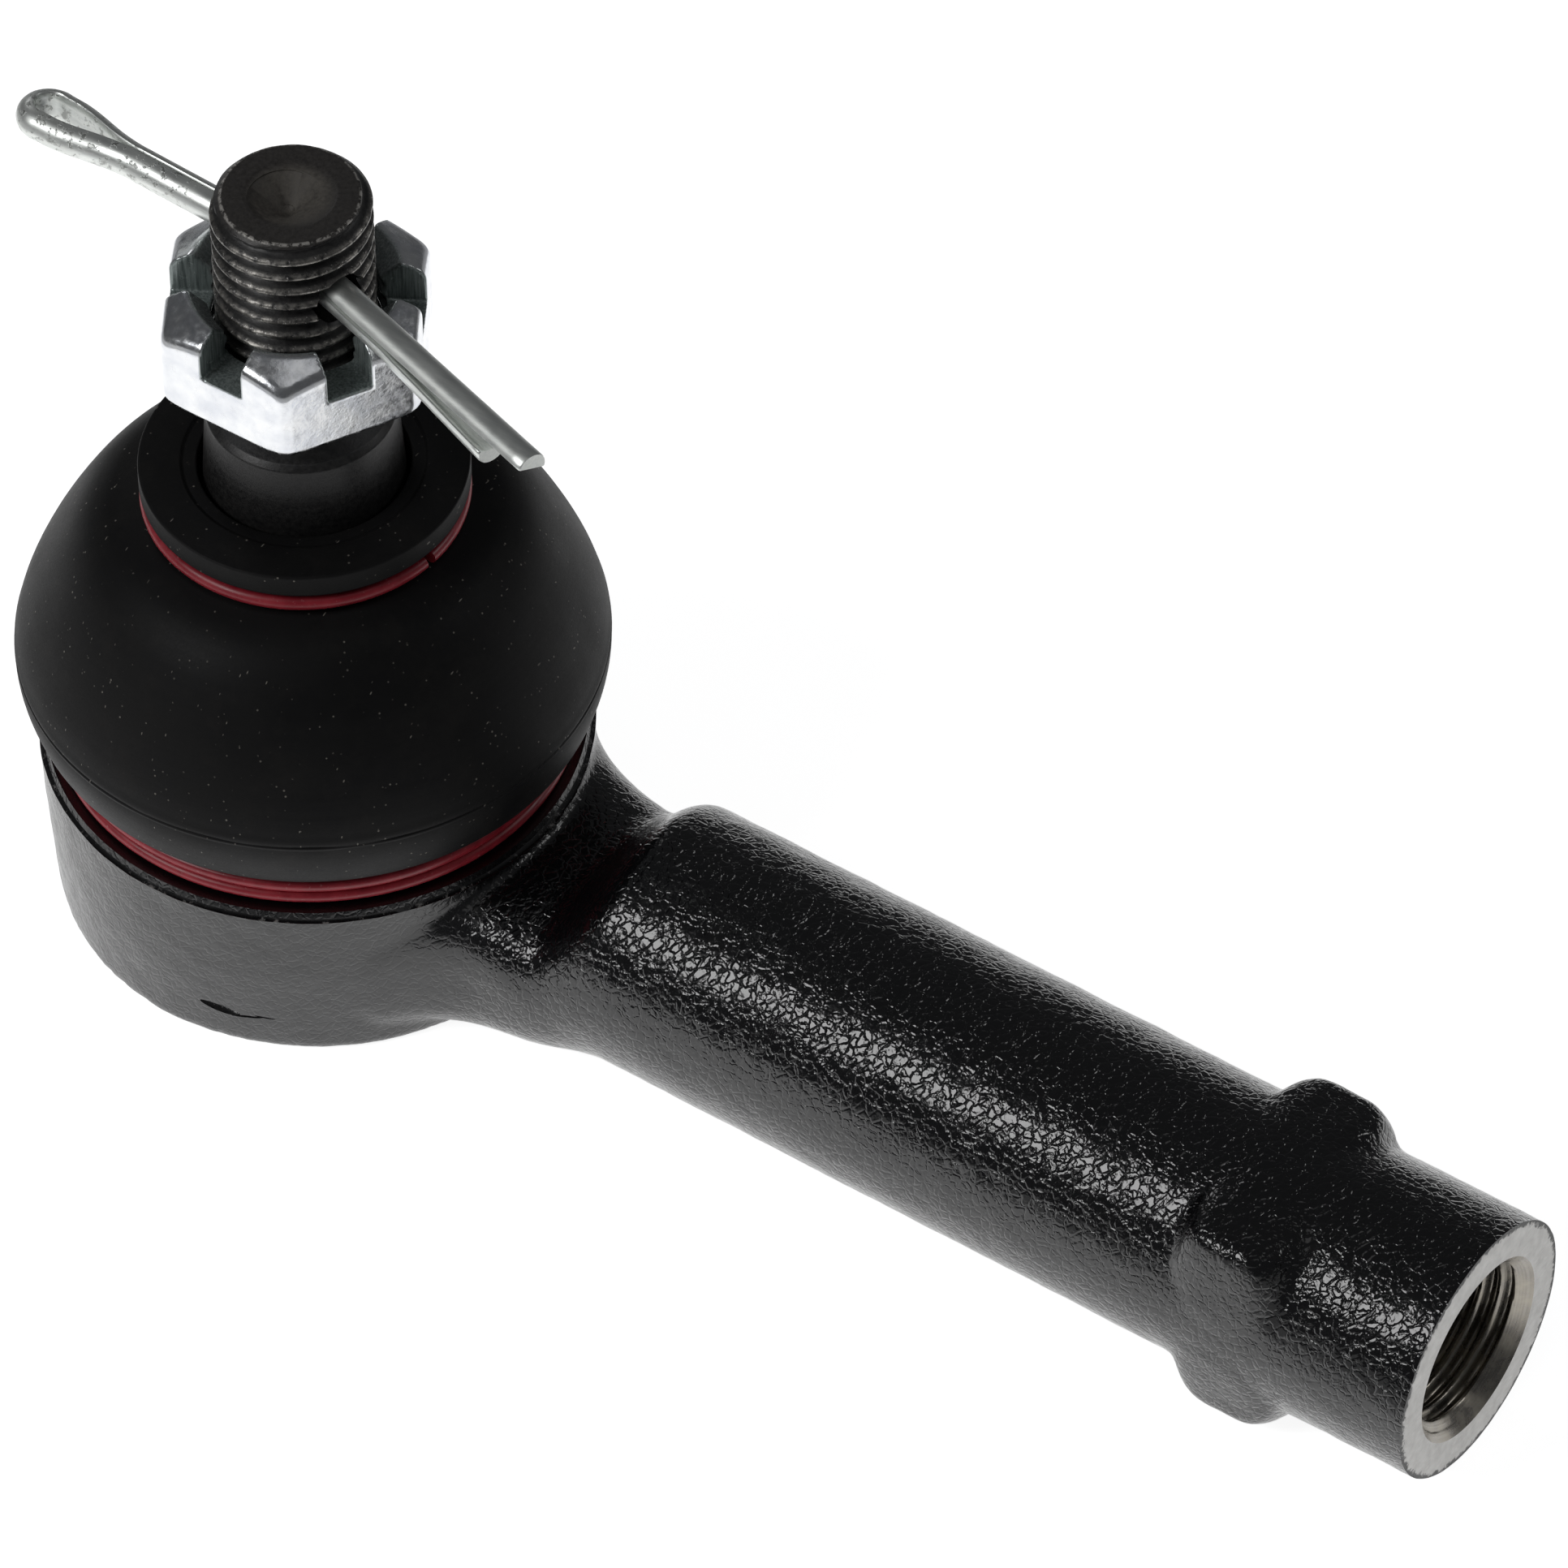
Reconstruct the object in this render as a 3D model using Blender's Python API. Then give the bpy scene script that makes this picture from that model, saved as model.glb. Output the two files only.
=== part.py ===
"""Outer tie rod end: a forged socket on a threaded shank, with its ball stud,
plastic bearing, dust boot, boot clips, castle nut and cotter pin.

Frame: metres, +Z up along the stud, +X along the shank. The origin is the
centre of the end cover's outer face. Lengths below are in millimetres.
"""
import math

import bmesh
import bpy
from mathutils import Matrix, Vector

MM = 0.001

# Fits
GAP = 0.3                      # clearance between neighbouring pieces

# Ball stud
BALL_RADIUS = 11.0
BALL_CENTRE_Z = 13.5
BALL_FLAT_DROP = 8.9           # the flat under the ball, below its centre
NECK_RADIUS = 6.1
TAPER_BIG_RADIUS = 7.63
TAPER_SMALL_RADIUS = 7.17
TAPER_BASE_Z = 41.5
TAPER_TOP_Z = 49.2
RELIEF_RADIUS = 5.3
THREAD_RADIUS = 6.0            # M12
THREAD_START_Z = 53.5
STUD_TOP_Z = 71.05
STUD_END_RADIUS = 5.15
DIMPLE_RADIUS = 3.05
DIMPLE_DEPTH = 2.3

# Hole for the cotter pin
HOLE_RADIUS = 2.1
HOLE_MOUTH_RADIUS = 2.7
HOLE_Z = 64.45
HOLE_AZIMUTH = -16.0

# Castle nut
NUT_FLATS = 19.0
NUT_BOTTOM_Z = 54.6
NUT_SLOT_Z = 58.85
NUT_RIDGE_Z = 62.6
NUT_RIDGE_RADIUS = 8.0
NUT_CONE_DEG = 30.0
NUT_SLOT_WIDTH = 3.55
NUT_FACE_AZIMUTH = 30.7

# Cotter pin
PIN_RADIUS = 1.3
PIN_SPLIT = 0.14               # gap between its two legs
PIN_FRONT_AZIMUTH = -16.5
PIN_REAR_AZIMUTH = 177.6
PIN_BEND_AT = -4.5
PIN_FRONT_Z = 64.85
PIN_REAR_Z = 64.1
PIN_LONG_LEG = 28.2
PIN_SHORT_LEG = 24.1
PIN_EYE_START = -16.5
PIN_EYE_CENTRE = -24.0
PIN_EYE_RADIUS = 1.25
PIN_TILT_REAR_DEG = 190.0      # turn of the two legs about the pin, rear and front
PIN_TILT_FRONT_DEG = 112.0
PIN_SPREAD = 1.1               # how far the short leg's tip stands off

# Housing
HEAD_BOTTOM_RADIUS = 20.1
HEAD_BAND_RADIUS = 20.75
HEAD_BAND_Z = 7.5
RIM_RADIUS = 21.15
RIM_Z = 15.8
GROOVE_RADIUS = 17.4
GROOVE_TOP_Z = 19.7
LIP_RADIUS = 18.4
LIP_TOP_Z = 21.4
HEAD_TOP_Z = 22.5
MOUTH_RADIUS = 11.2
THROAT_RADIUS = 10.0
THROAT_Z = 20.0
SOCKET_RADIUS = 14.5
SOCKET_TOP_Z = 16.5
SEAT_Z = 3.0                   # ledge that the cover's flange closes on
COUNTERBORE_RADIUS = 17.0
CRIMP_Z = 1.1
CRIMP_RADIUS = 14.9

# Shank
SHANK_Z = 10.6
SHANK_END_X = 104.5
BARREL_RADIUS = 10.47
BARREL_START_X = 32.0
STEP_START_X = 25.5
NECK_TOP_Z = 14.7
NECK_BOTTOM_Z = 0.5
NECK_FILLET_FRONT = 8.5        # plan radius where the neck meets the head, -Y side
NECK_FILLET_BACK = 13.0
LOFT_START_X = 11.0
LUG_PLACES = ((45.0, 87.2), (135.0, 88.2), (225.0, 88.2), (315.0, 87.2))
LUG_LAYERS = ((8.8, 9.4, 12.0), (10.4, 9.0, 7.8), (11.8, 7.6, 4.2), (12.5, 5.4, 2.2))
BORE_RADIUS = 6.35             # minor diameter of an M14 thread
BORE_MOUTH_RADIUS = 7.55
BORE_DEPTH = 42.0

# Cover and spring pack
COVER_FLANGE_RADIUS = 16.7
COVER_THICKNESS = 1.4
COVER_DISH_RADIUS = 14.3
COVER_FLOOR_RADIUS = 13.4
SPRING_OUTER_RADIUS = 12.0
SPRING_INNER_RADIUS = 6.9
SPRING_THICKNESS = 0.7
PLATE_HOLE_RADIUS = 6.7
PLATE_BOTTOM_Z = 3.4
PLATE_TOP_Z = 4.2
SEAT_RADIUS = 14.2
SEAT_TOP_Z = 19.5
SEAT_SPLIT = 0.15

# Dust boot, its ring and its clips
BOOT_WALL = 1.7
COLLAR_RADIUS = 12.38
COLLAR_TOP_Z = 43.5
COLLAR_BOTTOM_Z = 41.5
BOOT_NECK_RADIUS = 11.1
BOOT_BORE_RADIUS = 9.4
BOOT_EQUATOR_RADIUS = 22.4
BOOT_EQUATOR_Z = 25.05
RING_INNER_RADIUS = 8.0
RING_OUTER_RADIUS = 9.1
RING_BOTTOM_Z = 40.6
RING_TOP_Z = 42.6
LIP_INNER_RADIUS = 7.95        # the collar's lip, which closes over the ring
UPPER_CLIP_RADIUS = 12.0
UPPER_CLIP_WIRE = 0.6
UPPER_CLIP_Z = 40.35
UPPER_CLIP_START = -3.0        # azimuth of the wire's first end
UPPER_CLIP_TURNS = 0.99
LOWER_CLIP_RADIUS = 19.45
LOWER_CLIP_WIRE = 0.52
LOWER_CLIP_Z = 16.6
LOWER_CLIP_PITCH = 1.15
LOWER_CLIP_START = 150.0
LOWER_CLIP_TURNS = 1.95
CLIP_STEP_DEG = 30.0

# Facet counts
HEAD_STEPS = 48
MID_STEPS = 36
SMALL_STEPS = 32
SHARP_DEG = 35.0               # a turn between faces above this is a crease


# ---------------------------------------------------------------- helpers

def clear_scene():
    for obj in list(bpy.data.objects):
        bpy.data.objects.remove(obj, do_unlink=True)


def material(name, colour, roughness, metallic):
    mat = bpy.data.materials.new(name)
    mat.use_nodes = True
    shader = mat.node_tree.nodes["Principled BSDF"]
    shader.inputs["Base Color"].default_value = (*colour, 1.0)
    shader.inputs["Roughness"].default_value = roughness
    shader.inputs["Metallic"].default_value = metallic
    return mat


def add_object(name, bm, mat=None):
    """Turn a bmesh into an object, its faces out, and free the bmesh."""
    bmesh.ops.recalc_face_normals(bm, faces=bm.faces)
    mesh = bpy.data.meshes.new(name)
    bm.to_mesh(mesh)
    bm.free()
    mesh.shade_smooth()
    mesh.set_sharp_from_angle(angle=math.radians(SHARP_DEG))
    obj = bpy.data.objects.new(name, mesh)
    bpy.context.scene.collection.objects.link(obj)
    if mat is not None:
        mesh.materials.append(mat)
    return obj


def as_cutter(obj):
    obj.hide_render = True
    obj.display_type = "WIRE"
    return obj


def boolean(obj, other, operation):
    mod = obj.modifiers.new(other.name, "BOOLEAN")
    mod.operation = operation
    mod.solver = "EXACT"
    mod.object = other


def polar(radius, degrees):
    angle = math.radians(degrees)
    return radius * math.cos(angle), radius * math.sin(angle)


def arc(centre_r, centre_z, radius, start_deg, end_deg, steps):
    """Points (r, z) on a circle in a turned profile."""
    points = []
    for i in range(steps + 1):
        dr, dz = polar(radius, start_deg + (end_deg - start_deg) * i / steps)
        points.append((centre_r + dr, centre_z + dz))
    return points


def smooth_curve(points, per_span):
    """A Catmull-Rom curve through (r, z) points, for a flowing profile."""
    out = []
    last = len(points) - 1
    for i in range(last):
        p0 = Vector(points[max(i - 1, 0)])
        p1 = Vector(points[i])
        p2 = Vector(points[i + 1])
        p3 = Vector(points[min(i + 2, last)])
        for k in range(per_span):
            t = k / per_span
            bend = 2 * p0 - 5 * p1 + 4 * p2 - p3
            twist = 3 * (p1 - p2) + p3 - p0
            out.append(tuple(0.5 * (2 * p1 + (p2 - p0) * t + bend * t * t + twist * t ** 3)))
    out.append(tuple(points[last]))
    return out


def turned(profile, steps):
    """Closed solid of revolution about Z from a closed loop of (r, z) points."""
    bm = bmesh.new()
    rings = []
    for r, z in profile:
        if r < 1e-6:
            rings.append([bm.verts.new((0.0, 0.0, z * MM))] * steps)
            continue
        ring = []
        for i in range(steps):
            x, y = polar(r, 360.0 * i / steps)
            ring.append(bm.verts.new((x * MM, y * MM, z * MM)))
        rings.append(ring)
    for a, b in zip(rings, rings[1:] + rings[:1]):
        for i in range(steps):
            j = (i + 1) % steps
            corners = []
            for vert in (a[i], a[j], b[j], b[i]):
                if vert not in corners:
                    corners.append(vert)
            if len(corners) > 2:
                bm.faces.new(corners)
    return bm


def lofted(sections):
    """Closed solid through equal-length rings of points, in millimetres."""
    bm = bmesh.new()
    rings = [[bm.verts.new(Vector(p) * MM) for p in section] for section in sections]
    for a, b in zip(rings, rings[1:]):
        for i in range(len(a)):
            j = (i + 1) % len(a)
            bm.faces.new((a[i], a[j], b[j], b[i]))
    bm.faces.new(rings[0])
    bm.faces.new(rings[-1])
    return bm


def smoothstep(value, low, high):
    t = min(max((value - low) / (high - low), 0.0), 1.0)
    return t * t * (3 - 2 * t)


# ---------------------------------------------------------------- housing

def head_profile():
    return [
        (0.0, 0.0),
        (HEAD_BOTTOM_RADIUS - 0.9, 0.0),
        (HEAD_BOTTOM_RADIUS - 0.2, 0.3),
        (HEAD_BOTTOM_RADIUS, 0.9),
        (HEAD_BAND_RADIUS, HEAD_BAND_Z),
        (RIM_RADIUS, RIM_Z - 0.5),
        (RIM_RADIUS - 0.35, RIM_Z),
        (GROOVE_RADIUS, RIM_Z),
        (GROOVE_RADIUS, GROOVE_TOP_Z),
        (LIP_RADIUS, GROOVE_TOP_Z),
        (LIP_RADIUS, LIP_TOP_Z),
        (LIP_RADIUS - 1.0, HEAD_TOP_Z),
        (0.0, HEAD_TOP_Z),
    ]


def socket_profile():
    """The cavity: mouth, throat, bearing bore, cover ledge and crimped lip."""
    return [
        (0.0, HEAD_TOP_Z + 1.0),
        (MOUTH_RADIUS + 0.4, HEAD_TOP_Z + 1.0),
        (MOUTH_RADIUS, HEAD_TOP_Z),
        (THROAT_RADIUS, THROAT_Z),
        (SOCKET_RADIUS, SOCKET_TOP_Z),
        (SOCKET_RADIUS, SEAT_Z),
        (COUNTERBORE_RADIUS, SEAT_Z),
        (COUNTERBORE_RADIUS, CRIMP_Z),
        (CRIMP_RADIUS, CRIMP_Z),
        (CRIMP_RADIUS, -1.0),
        (0.0, -1.0),
    ]


def neck_half_width(x, fillet):
    """Plan outline of the neck: the head's circle, a concave fillet, the barrel."""
    reach = RIM_RADIUS + fillet
    centre_y = BARREL_RADIUS + fillet
    centre_x = math.sqrt(reach ** 2 - centre_y ** 2)
    touch_x = centre_x * RIM_RADIUS / reach
    if x < touch_x:
        return math.sqrt(max(RIM_RADIUS ** 2 - x * x, 0.0)) - 1.2 * smoothstep(touch_x - x, 0, 4)
    if x < centre_x:
        return centre_y - math.sqrt(fillet ** 2 - (x - centre_x) ** 2)
    return BARREL_RADIUS


def shank_section(x, sides):
    """Outline across the shank: flat-topped at the head, round on the barrel."""
    rise = smoothstep(x, STEP_START_X, BARREL_START_X)
    top = NECK_TOP_Z + (SHANK_Z + BARREL_RADIUS - NECK_TOP_Z) * rise
    bottom = NECK_BOTTOM_Z + (SHANK_Z - BARREL_RADIUS - NECK_BOTTOM_Z) * rise
    power = 2.0 / (4.0 - 2.0 * smoothstep(x, 16.0, BARREL_START_X))
    section = []
    for i in range(sides):
        c, s = polar(1.0, 360.0 * i / sides)
        fillet = NECK_FILLET_BACK if c > 0 else NECK_FILLET_FRONT
        y = neck_half_width(x, fillet) * math.copysign(abs(c) ** power, c)
        z = (top + bottom) / 2 + (top - bottom) / 2 * math.copysign(abs(s) ** power, s)
        section.append((x, y, z))
    return section


def shank_body():
    stations = [LOFT_START_X + (BARREL_START_X - LOFT_START_X) * i / 10 for i in range(11)]
    stations += [BARREL_START_X + 30.0, SHANK_END_X - 0.5]
    sections = [shank_section(x, MID_STEPS) for x in stations]
    end = [(SHANK_END_X, 0.965 * y, SHANK_Z + 0.965 * (z - SHANK_Z)) for _, y, z in sections[-1]]
    return lofted(sections + [end])


def lug_body(angle, centre_x):
    """One corner of the square for a wrench, standing out of the barrel."""
    turn = Matrix.Rotation(math.radians(angle), 3, "X")
    sections = []
    for height, length, width in LUG_LAYERS:
        section = []
        for i in range(16):
            c, s = polar(1.0, 22.5 * i)
            along = length / 2 * math.copysign(abs(c) ** 0.7, c)
            across = width / 2 * math.copysign(abs(s) ** 0.7, s)
            point = turn @ Vector((along, height, across))
            section.append(point + Vector((centre_x, 0.0, SHANK_Z)))
        sections.append(section)
    return lofted(sections)


def bore_cutter():
    """Bore of the shank: chamfered mouth and a drilled blind end."""
    profile = [
        (0.0, 1.0),
        (BORE_MOUTH_RADIUS + 1.0, 1.0),
        (BORE_MOUTH_RADIUS, 0.0),
        (BORE_RADIUS, -1.2),
        (BORE_RADIUS, -BORE_DEPTH),
        (0.0, -BORE_DEPTH - 3.6),
    ]
    cutter = as_cutter(add_object("bore_cutter", turned(profile, SMALL_STEPS)))
    cutter.rotation_euler = (0.0, math.radians(90), 0.0)
    cutter.location = (SHANK_END_X * MM, 0.0, SHANK_Z * MM)
    return cutter


def build_housing():
    paint = material("black_paint", (0.012, 0.012, 0.013), 0.32, 0.0)
    housing = add_object("housing", turned(head_profile(), HEAD_STEPS), paint)
    shank = as_cutter(add_object("shank_form", shank_body()))
    boolean(housing, shank, "UNION")
    for angle, centre_x in LUG_PLACES:
        lug = as_cutter(add_object(f"lug_form_{angle:.0f}", lug_body(angle, centre_x)))
        boolean(housing, lug, "UNION")
    socket = as_cutter(add_object("socket_cutter", turned(socket_profile(), HEAD_STEPS)))
    boolean(housing, socket, "DIFFERENCE")
    boolean(housing, bore_cutter(), "DIFFERENCE")
    return housing


# ------------------------------------------------- cover, spring, bearing

def build_end_cover():
    steel = material("zinc_steel", (0.55, 0.56, 0.57), 0.35, 1.0)
    flange_z = CRIMP_Z + GAP
    flange_top = SEAT_Z - GAP
    profile = [
        (0.0, 0.0),
        (COVER_FLOOR_RADIUS, 0.0),
        (COVER_DISH_RADIUS, 0.6),
        (COVER_DISH_RADIUS, flange_z),
        (COVER_FLANGE_RADIUS, flange_z),
        (COVER_FLANGE_RADIUS, flange_top),
        (COVER_DISH_RADIUS - 1.2, flange_top),
        (COVER_FLOOR_RADIUS - 0.9, COVER_THICKNESS),
        (0.0, COVER_THICKNESS),
    ]
    return add_object("end_cover", turned(profile, MID_STEPS), steel)


def build_preload_spring():
    steel = material("spring_steel", (0.25, 0.25, 0.27), 0.4, 1.0)
    base = COVER_THICKNESS + GAP
    rise = PLATE_BOTTOM_Z - GAP - SPRING_THICKNESS - base
    profile = [
        (SPRING_OUTER_RADIUS, base),
        (SPRING_OUTER_RADIUS, base + SPRING_THICKNESS),
        (SPRING_INNER_RADIUS, base + rise + SPRING_THICKNESS),
        (SPRING_INNER_RADIUS, base + rise),
    ]
    return add_object("preload_spring", turned(profile, MID_STEPS), steel)


def build_pressure_plate():
    steel = material("plate_steel", (0.4, 0.4, 0.41), 0.4, 1.0)
    profile = [
        (PLATE_HOLE_RADIUS, PLATE_BOTTOM_Z),
        (SEAT_RADIUS, PLATE_BOTTOM_Z),
        (SEAT_RADIUS, PLATE_TOP_Z),
        (PLATE_HOLE_RADIUS, PLATE_TOP_Z),
    ]
    return add_object("pressure_plate", turned(profile, MID_STEPS), steel)


def ball_arc(from_drop, to_drop, radius, steps):
    """Profile points on a sphere about the ball's centre, by height."""
    start = math.degrees(math.asin(from_drop / radius))
    end = math.degrees(math.asin(to_drop / radius))
    return arc(0.0, BALL_CENTRE_Z, radius, start, end, steps)


def build_bearing_seats():
    plastic = material("bearing_plastic", (0.75, 0.72, 0.62), 0.4, 0.0)
    inner = BALL_RADIUS + GAP
    top = SEAT_TOP_Z - BALL_CENTRE_Z
    upper = ball_arc(SEAT_SPLIT, top, inner, 6)
    upper += [
        (THROAT_RADIUS + 0.22, SEAT_TOP_Z),
        (SEAT_RADIUS, SOCKET_TOP_Z - 0.14),
        (SEAT_RADIUS, BALL_CENTRE_Z + SEAT_SPLIT),
    ]
    bottom_z = PLATE_TOP_Z + GAP
    lower = ball_arc(bottom_z - BALL_CENTRE_Z, -SEAT_SPLIT, inner, 7)
    lower += [
        (SEAT_RADIUS, BALL_CENTRE_Z - SEAT_SPLIT),
        (SEAT_RADIUS, bottom_z),
    ]
    return [
        add_object("upper_bearing", turned(upper, MID_STEPS), plastic),
        add_object("lower_bearing", turned(lower, MID_STEPS), plastic),
    ]


# ------------------------------------------------------------- ball stud

def stud_profile():
    neck_rise = math.sqrt(BALL_RADIUS ** 2 - NECK_RADIUS ** 2)
    ball = ball_arc(-BALL_FLAT_DROP, neck_rise, BALL_RADIUS, 14)
    return [(0.0, BALL_CENTRE_Z - BALL_FLAT_DROP)] + ball + [
        (NECK_RADIUS, 27.0),
        (7.3, 30.5),
        (7.3, 36.0),
        (TAPER_BIG_RADIUS, 37.0),
        (TAPER_BIG_RADIUS, TAPER_BASE_Z),
        (TAPER_SMALL_RADIUS, TAPER_TOP_Z),
        (TAPER_SMALL_RADIUS - 0.45, TAPER_TOP_Z + 0.45),
        (RELIEF_RADIUS, TAPER_TOP_Z + 1.0),
        (RELIEF_RADIUS, THREAD_START_Z - 0.7),
        (THREAD_RADIUS, THREAD_START_Z),
        (THREAD_RADIUS, STUD_TOP_Z - 0.9),
        (STUD_END_RADIUS, STUD_TOP_Z),
        (DIMPLE_RADIUS, STUD_TOP_Z),
        (0.0, STUD_TOP_Z - DIMPLE_DEPTH),
    ]


def pin_hole_cutter():
    flare = HOLE_MOUTH_RADIUS - HOLE_RADIUS
    profile = [
        (0.0, -8.0),
        (HOLE_MOUTH_RADIUS + 1.0, -8.0),
        (HOLE_MOUTH_RADIUS + 1.0, -THREAD_RADIUS - 1.0),
        (HOLE_RADIUS, -THREAD_RADIUS + flare),
        (HOLE_RADIUS, THREAD_RADIUS - flare),
        (HOLE_MOUTH_RADIUS + 1.0, THREAD_RADIUS + 1.0),
        (HOLE_MOUTH_RADIUS + 1.0, 8.0),
        (0.0, 8.0),
    ]
    cutter = as_cutter(add_object("pin_hole_cutter", turned(profile, 20)))
    cutter.rotation_euler = (0.0, math.radians(90), math.radians(HOLE_AZIMUTH))
    cutter.location = (0.0, 0.0, HOLE_Z * MM)
    return cutter


def build_ball_stud():
    steel = material("phosphated_steel", (0.035, 0.035, 0.038), 0.42, 0.8)
    stud = add_object("ball_stud", turned(stud_profile(), SMALL_STEPS), steel)
    boolean(stud, pin_hole_cutter(), "DIFFERENCE")
    return stud


# ------------------------------------------------------------ castle nut

def nut_envelope():
    """Turned outline of the nut: bore, countersink, ridge, cone and foot."""
    corner = NUT_FLATS / math.sqrt(3) + 0.3
    shoulder_z = NUT_RIDGE_Z - (corner - NUT_RIDGE_RADIUS) * math.tan(math.radians(NUT_CONE_DEG))
    bore = THREAD_RADIUS + GAP
    return [
        (bore, NUT_BOTTOM_Z),
        (corner - 0.8, NUT_BOTTOM_Z),
        (corner, NUT_BOTTOM_Z + 0.5),
        (corner, shoulder_z),
        (NUT_RIDGE_RADIUS + 0.2, NUT_RIDGE_Z - 0.05),
        (NUT_RIDGE_RADIUS - 0.2, NUT_RIDGE_Z - 0.15),
        (bore, NUT_RIDGE_Z - 1.6),
    ]


def hexagon_prism():
    sections = []
    for z in (NUT_BOTTOM_Z - 1.0, NUT_RIDGE_Z + 1.0):
        corner = NUT_FLATS / math.sqrt(3)
        ring = [polar(corner, NUT_FACE_AZIMUTH + 30.0 + 60.0 * i) for i in range(6)]
        sections.append([(x, y, z) for x, y in ring])
    return lofted(sections)


def slot_cutter(azimuth):
    half = NUT_SLOT_WIDTH / 2
    turn = Matrix.Rotation(math.radians(azimuth), 3, "Z")
    sections = []
    for z in (NUT_SLOT_Z, NUT_RIDGE_Z + 2.0):
        corners = ((-15.0, -half), (15.0, -half), (15.0, half), (-15.0, half))
        sections.append([turn @ Vector((x, y, z)) for x, y in corners])
    return as_cutter(add_object(f"slot_cutter_{azimuth:.0f}", lofted(sections)))


def build_castle_nut():
    zinc = material("bright_zinc", (0.75, 0.76, 0.78), 0.22, 1.0)
    nut = add_object("castle_nut", turned(nut_envelope(), MID_STEPS), zinc)
    boolean(nut, as_cutter(add_object("hexagon_form", hexagon_prism())), "INTERSECT")
    for i in range(3):
        boolean(nut, slot_cutter(NUT_FACE_AZIMUTH + 60.0 * i), "DIFFERENCE")
    return nut


# ------------------------------------------------------------ cotter pin

def pin_axis(s):
    """Point on the pin's bent centreline, s millimetres from the stud's axis."""
    front = Vector((*polar(1.0, PIN_FRONT_AZIMUTH), 0.0))
    rear = Vector((*polar(1.0, PIN_REAR_AZIMUTH), 0.0))
    z = PIN_REAR_Z + (PIN_FRONT_Z - PIN_REAR_Z) * smoothstep(s, PIN_BEND_AT, 6.0)
    if s > PIN_BEND_AT:
        point = front * s
    else:
        point = front * PIN_BEND_AT + rear * (PIN_BEND_AT - s)
    return Vector((point.x, point.y, z))


def pin_frame(s):
    """Centre, direction and split-plane normal of the pin at s."""
    centre = (pin_axis(s - 0.8) + pin_axis(s + 0.8) + pin_axis(s) * 2) / 4
    along = (pin_axis(s + 1.2) - pin_axis(s - 1.2)).normalized()
    side = Vector((0, 0, 1)).cross(along).normalized()
    up = along.cross(side)
    lean = PIN_TILT_REAR_DEG + (PIN_TILT_FRONT_DEG - PIN_TILT_REAR_DEG) * smoothstep(s, -8, 8)
    c, s_lean = polar(1.0, lean)
    normal = up * s_lean - side * c
    return centre, along, normal


def pin_route():
    """The flat face's line in the pin's own plane: leg, eye and second leg."""
    flat = PIN_SPLIT / 2
    leg = [-14.0, -10.5, -9.0, -8.2, -7.4, -6.0, -3.0, 0.0, 3.0, 6.0, 10.0]
    shoulder = [(PIN_EYE_START, flat), (-18.4, 0.35), (-20.9, 0.95)]
    upper = [(PIN_LONG_LEG, flat)] + [(s, flat) for s in reversed(leg)] + shoulder
    eye = []
    for i in range(9):
        ds, dn = polar(PIN_EYE_RADIUS, 75.0 + 210.0 * i / 8)
        eye.append((PIN_EYE_CENTRE + ds, dn))
    lower = [(s, -n) for s, n in reversed(shoulder)] + [(s, -flat) for s in leg]
    spread = []
    for t in (0.6, 0.8, 1.0):
        away = PIN_SPREAD * smoothstep(t, 0.35, 1.25)
        spread.append((PIN_SHORT_LEG * t, -flat - away))
    return upper + eye + lower + spread


def build_cotter_pin():
    zinc = material("pin_zinc", (0.6, 0.62, 0.6), 0.3, 1.0)
    route = pin_route()
    sections = []
    for i, (s, n) in enumerate(route):
        centre, along, normal = pin_frame(s)
        before = Vector(route[max(i - 1, 0)])
        after = Vector(route[min(i + 1, len(route) - 1)])
        heading = (after - before).normalized()
        outward = along * heading.y - normal * heading.x
        across = along.cross(normal)
        start = centre + normal * n
        section = []
        for k in range(7):
            depth, width = polar(PIN_RADIUS, -90.0 + 180.0 * k / 6)
            section.append(start + outward * depth + across * width)
        sections.append(section)
    return add_object("cotter_pin", lofted(sections), zinc)


# ---------------------------------------------------- boot, ring and clips

def boot_outer():
    """Outside of the boot's dome, from under the collar to the clip groove."""
    return smooth_curve([
        (BOOT_NECK_RADIUS + 0.9, 39.45),
        (15.2, 38.1),
        (17.8, 35.4),
        (20.75, 30.1),
        (BOOT_EQUATOR_RADIUS, BOOT_EQUATOR_Z),
        (21.7, 20.9),
        (20.1, 18.85),
    ], 2)


def boot_inner():
    """Inside of the dome, one wall thickness in."""
    return [
        (18.75, 19.55),
        (20.1, 21.6),
        (BOOT_EQUATOR_RADIUS - BOOT_WALL, BOOT_EQUATOR_Z),
        (19.1, 29.6),
        (16.3, 34.5),
        (14.1, 36.8),
        (BOOT_BORE_RADIUS + 1.2, 38.3),
    ]


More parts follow.
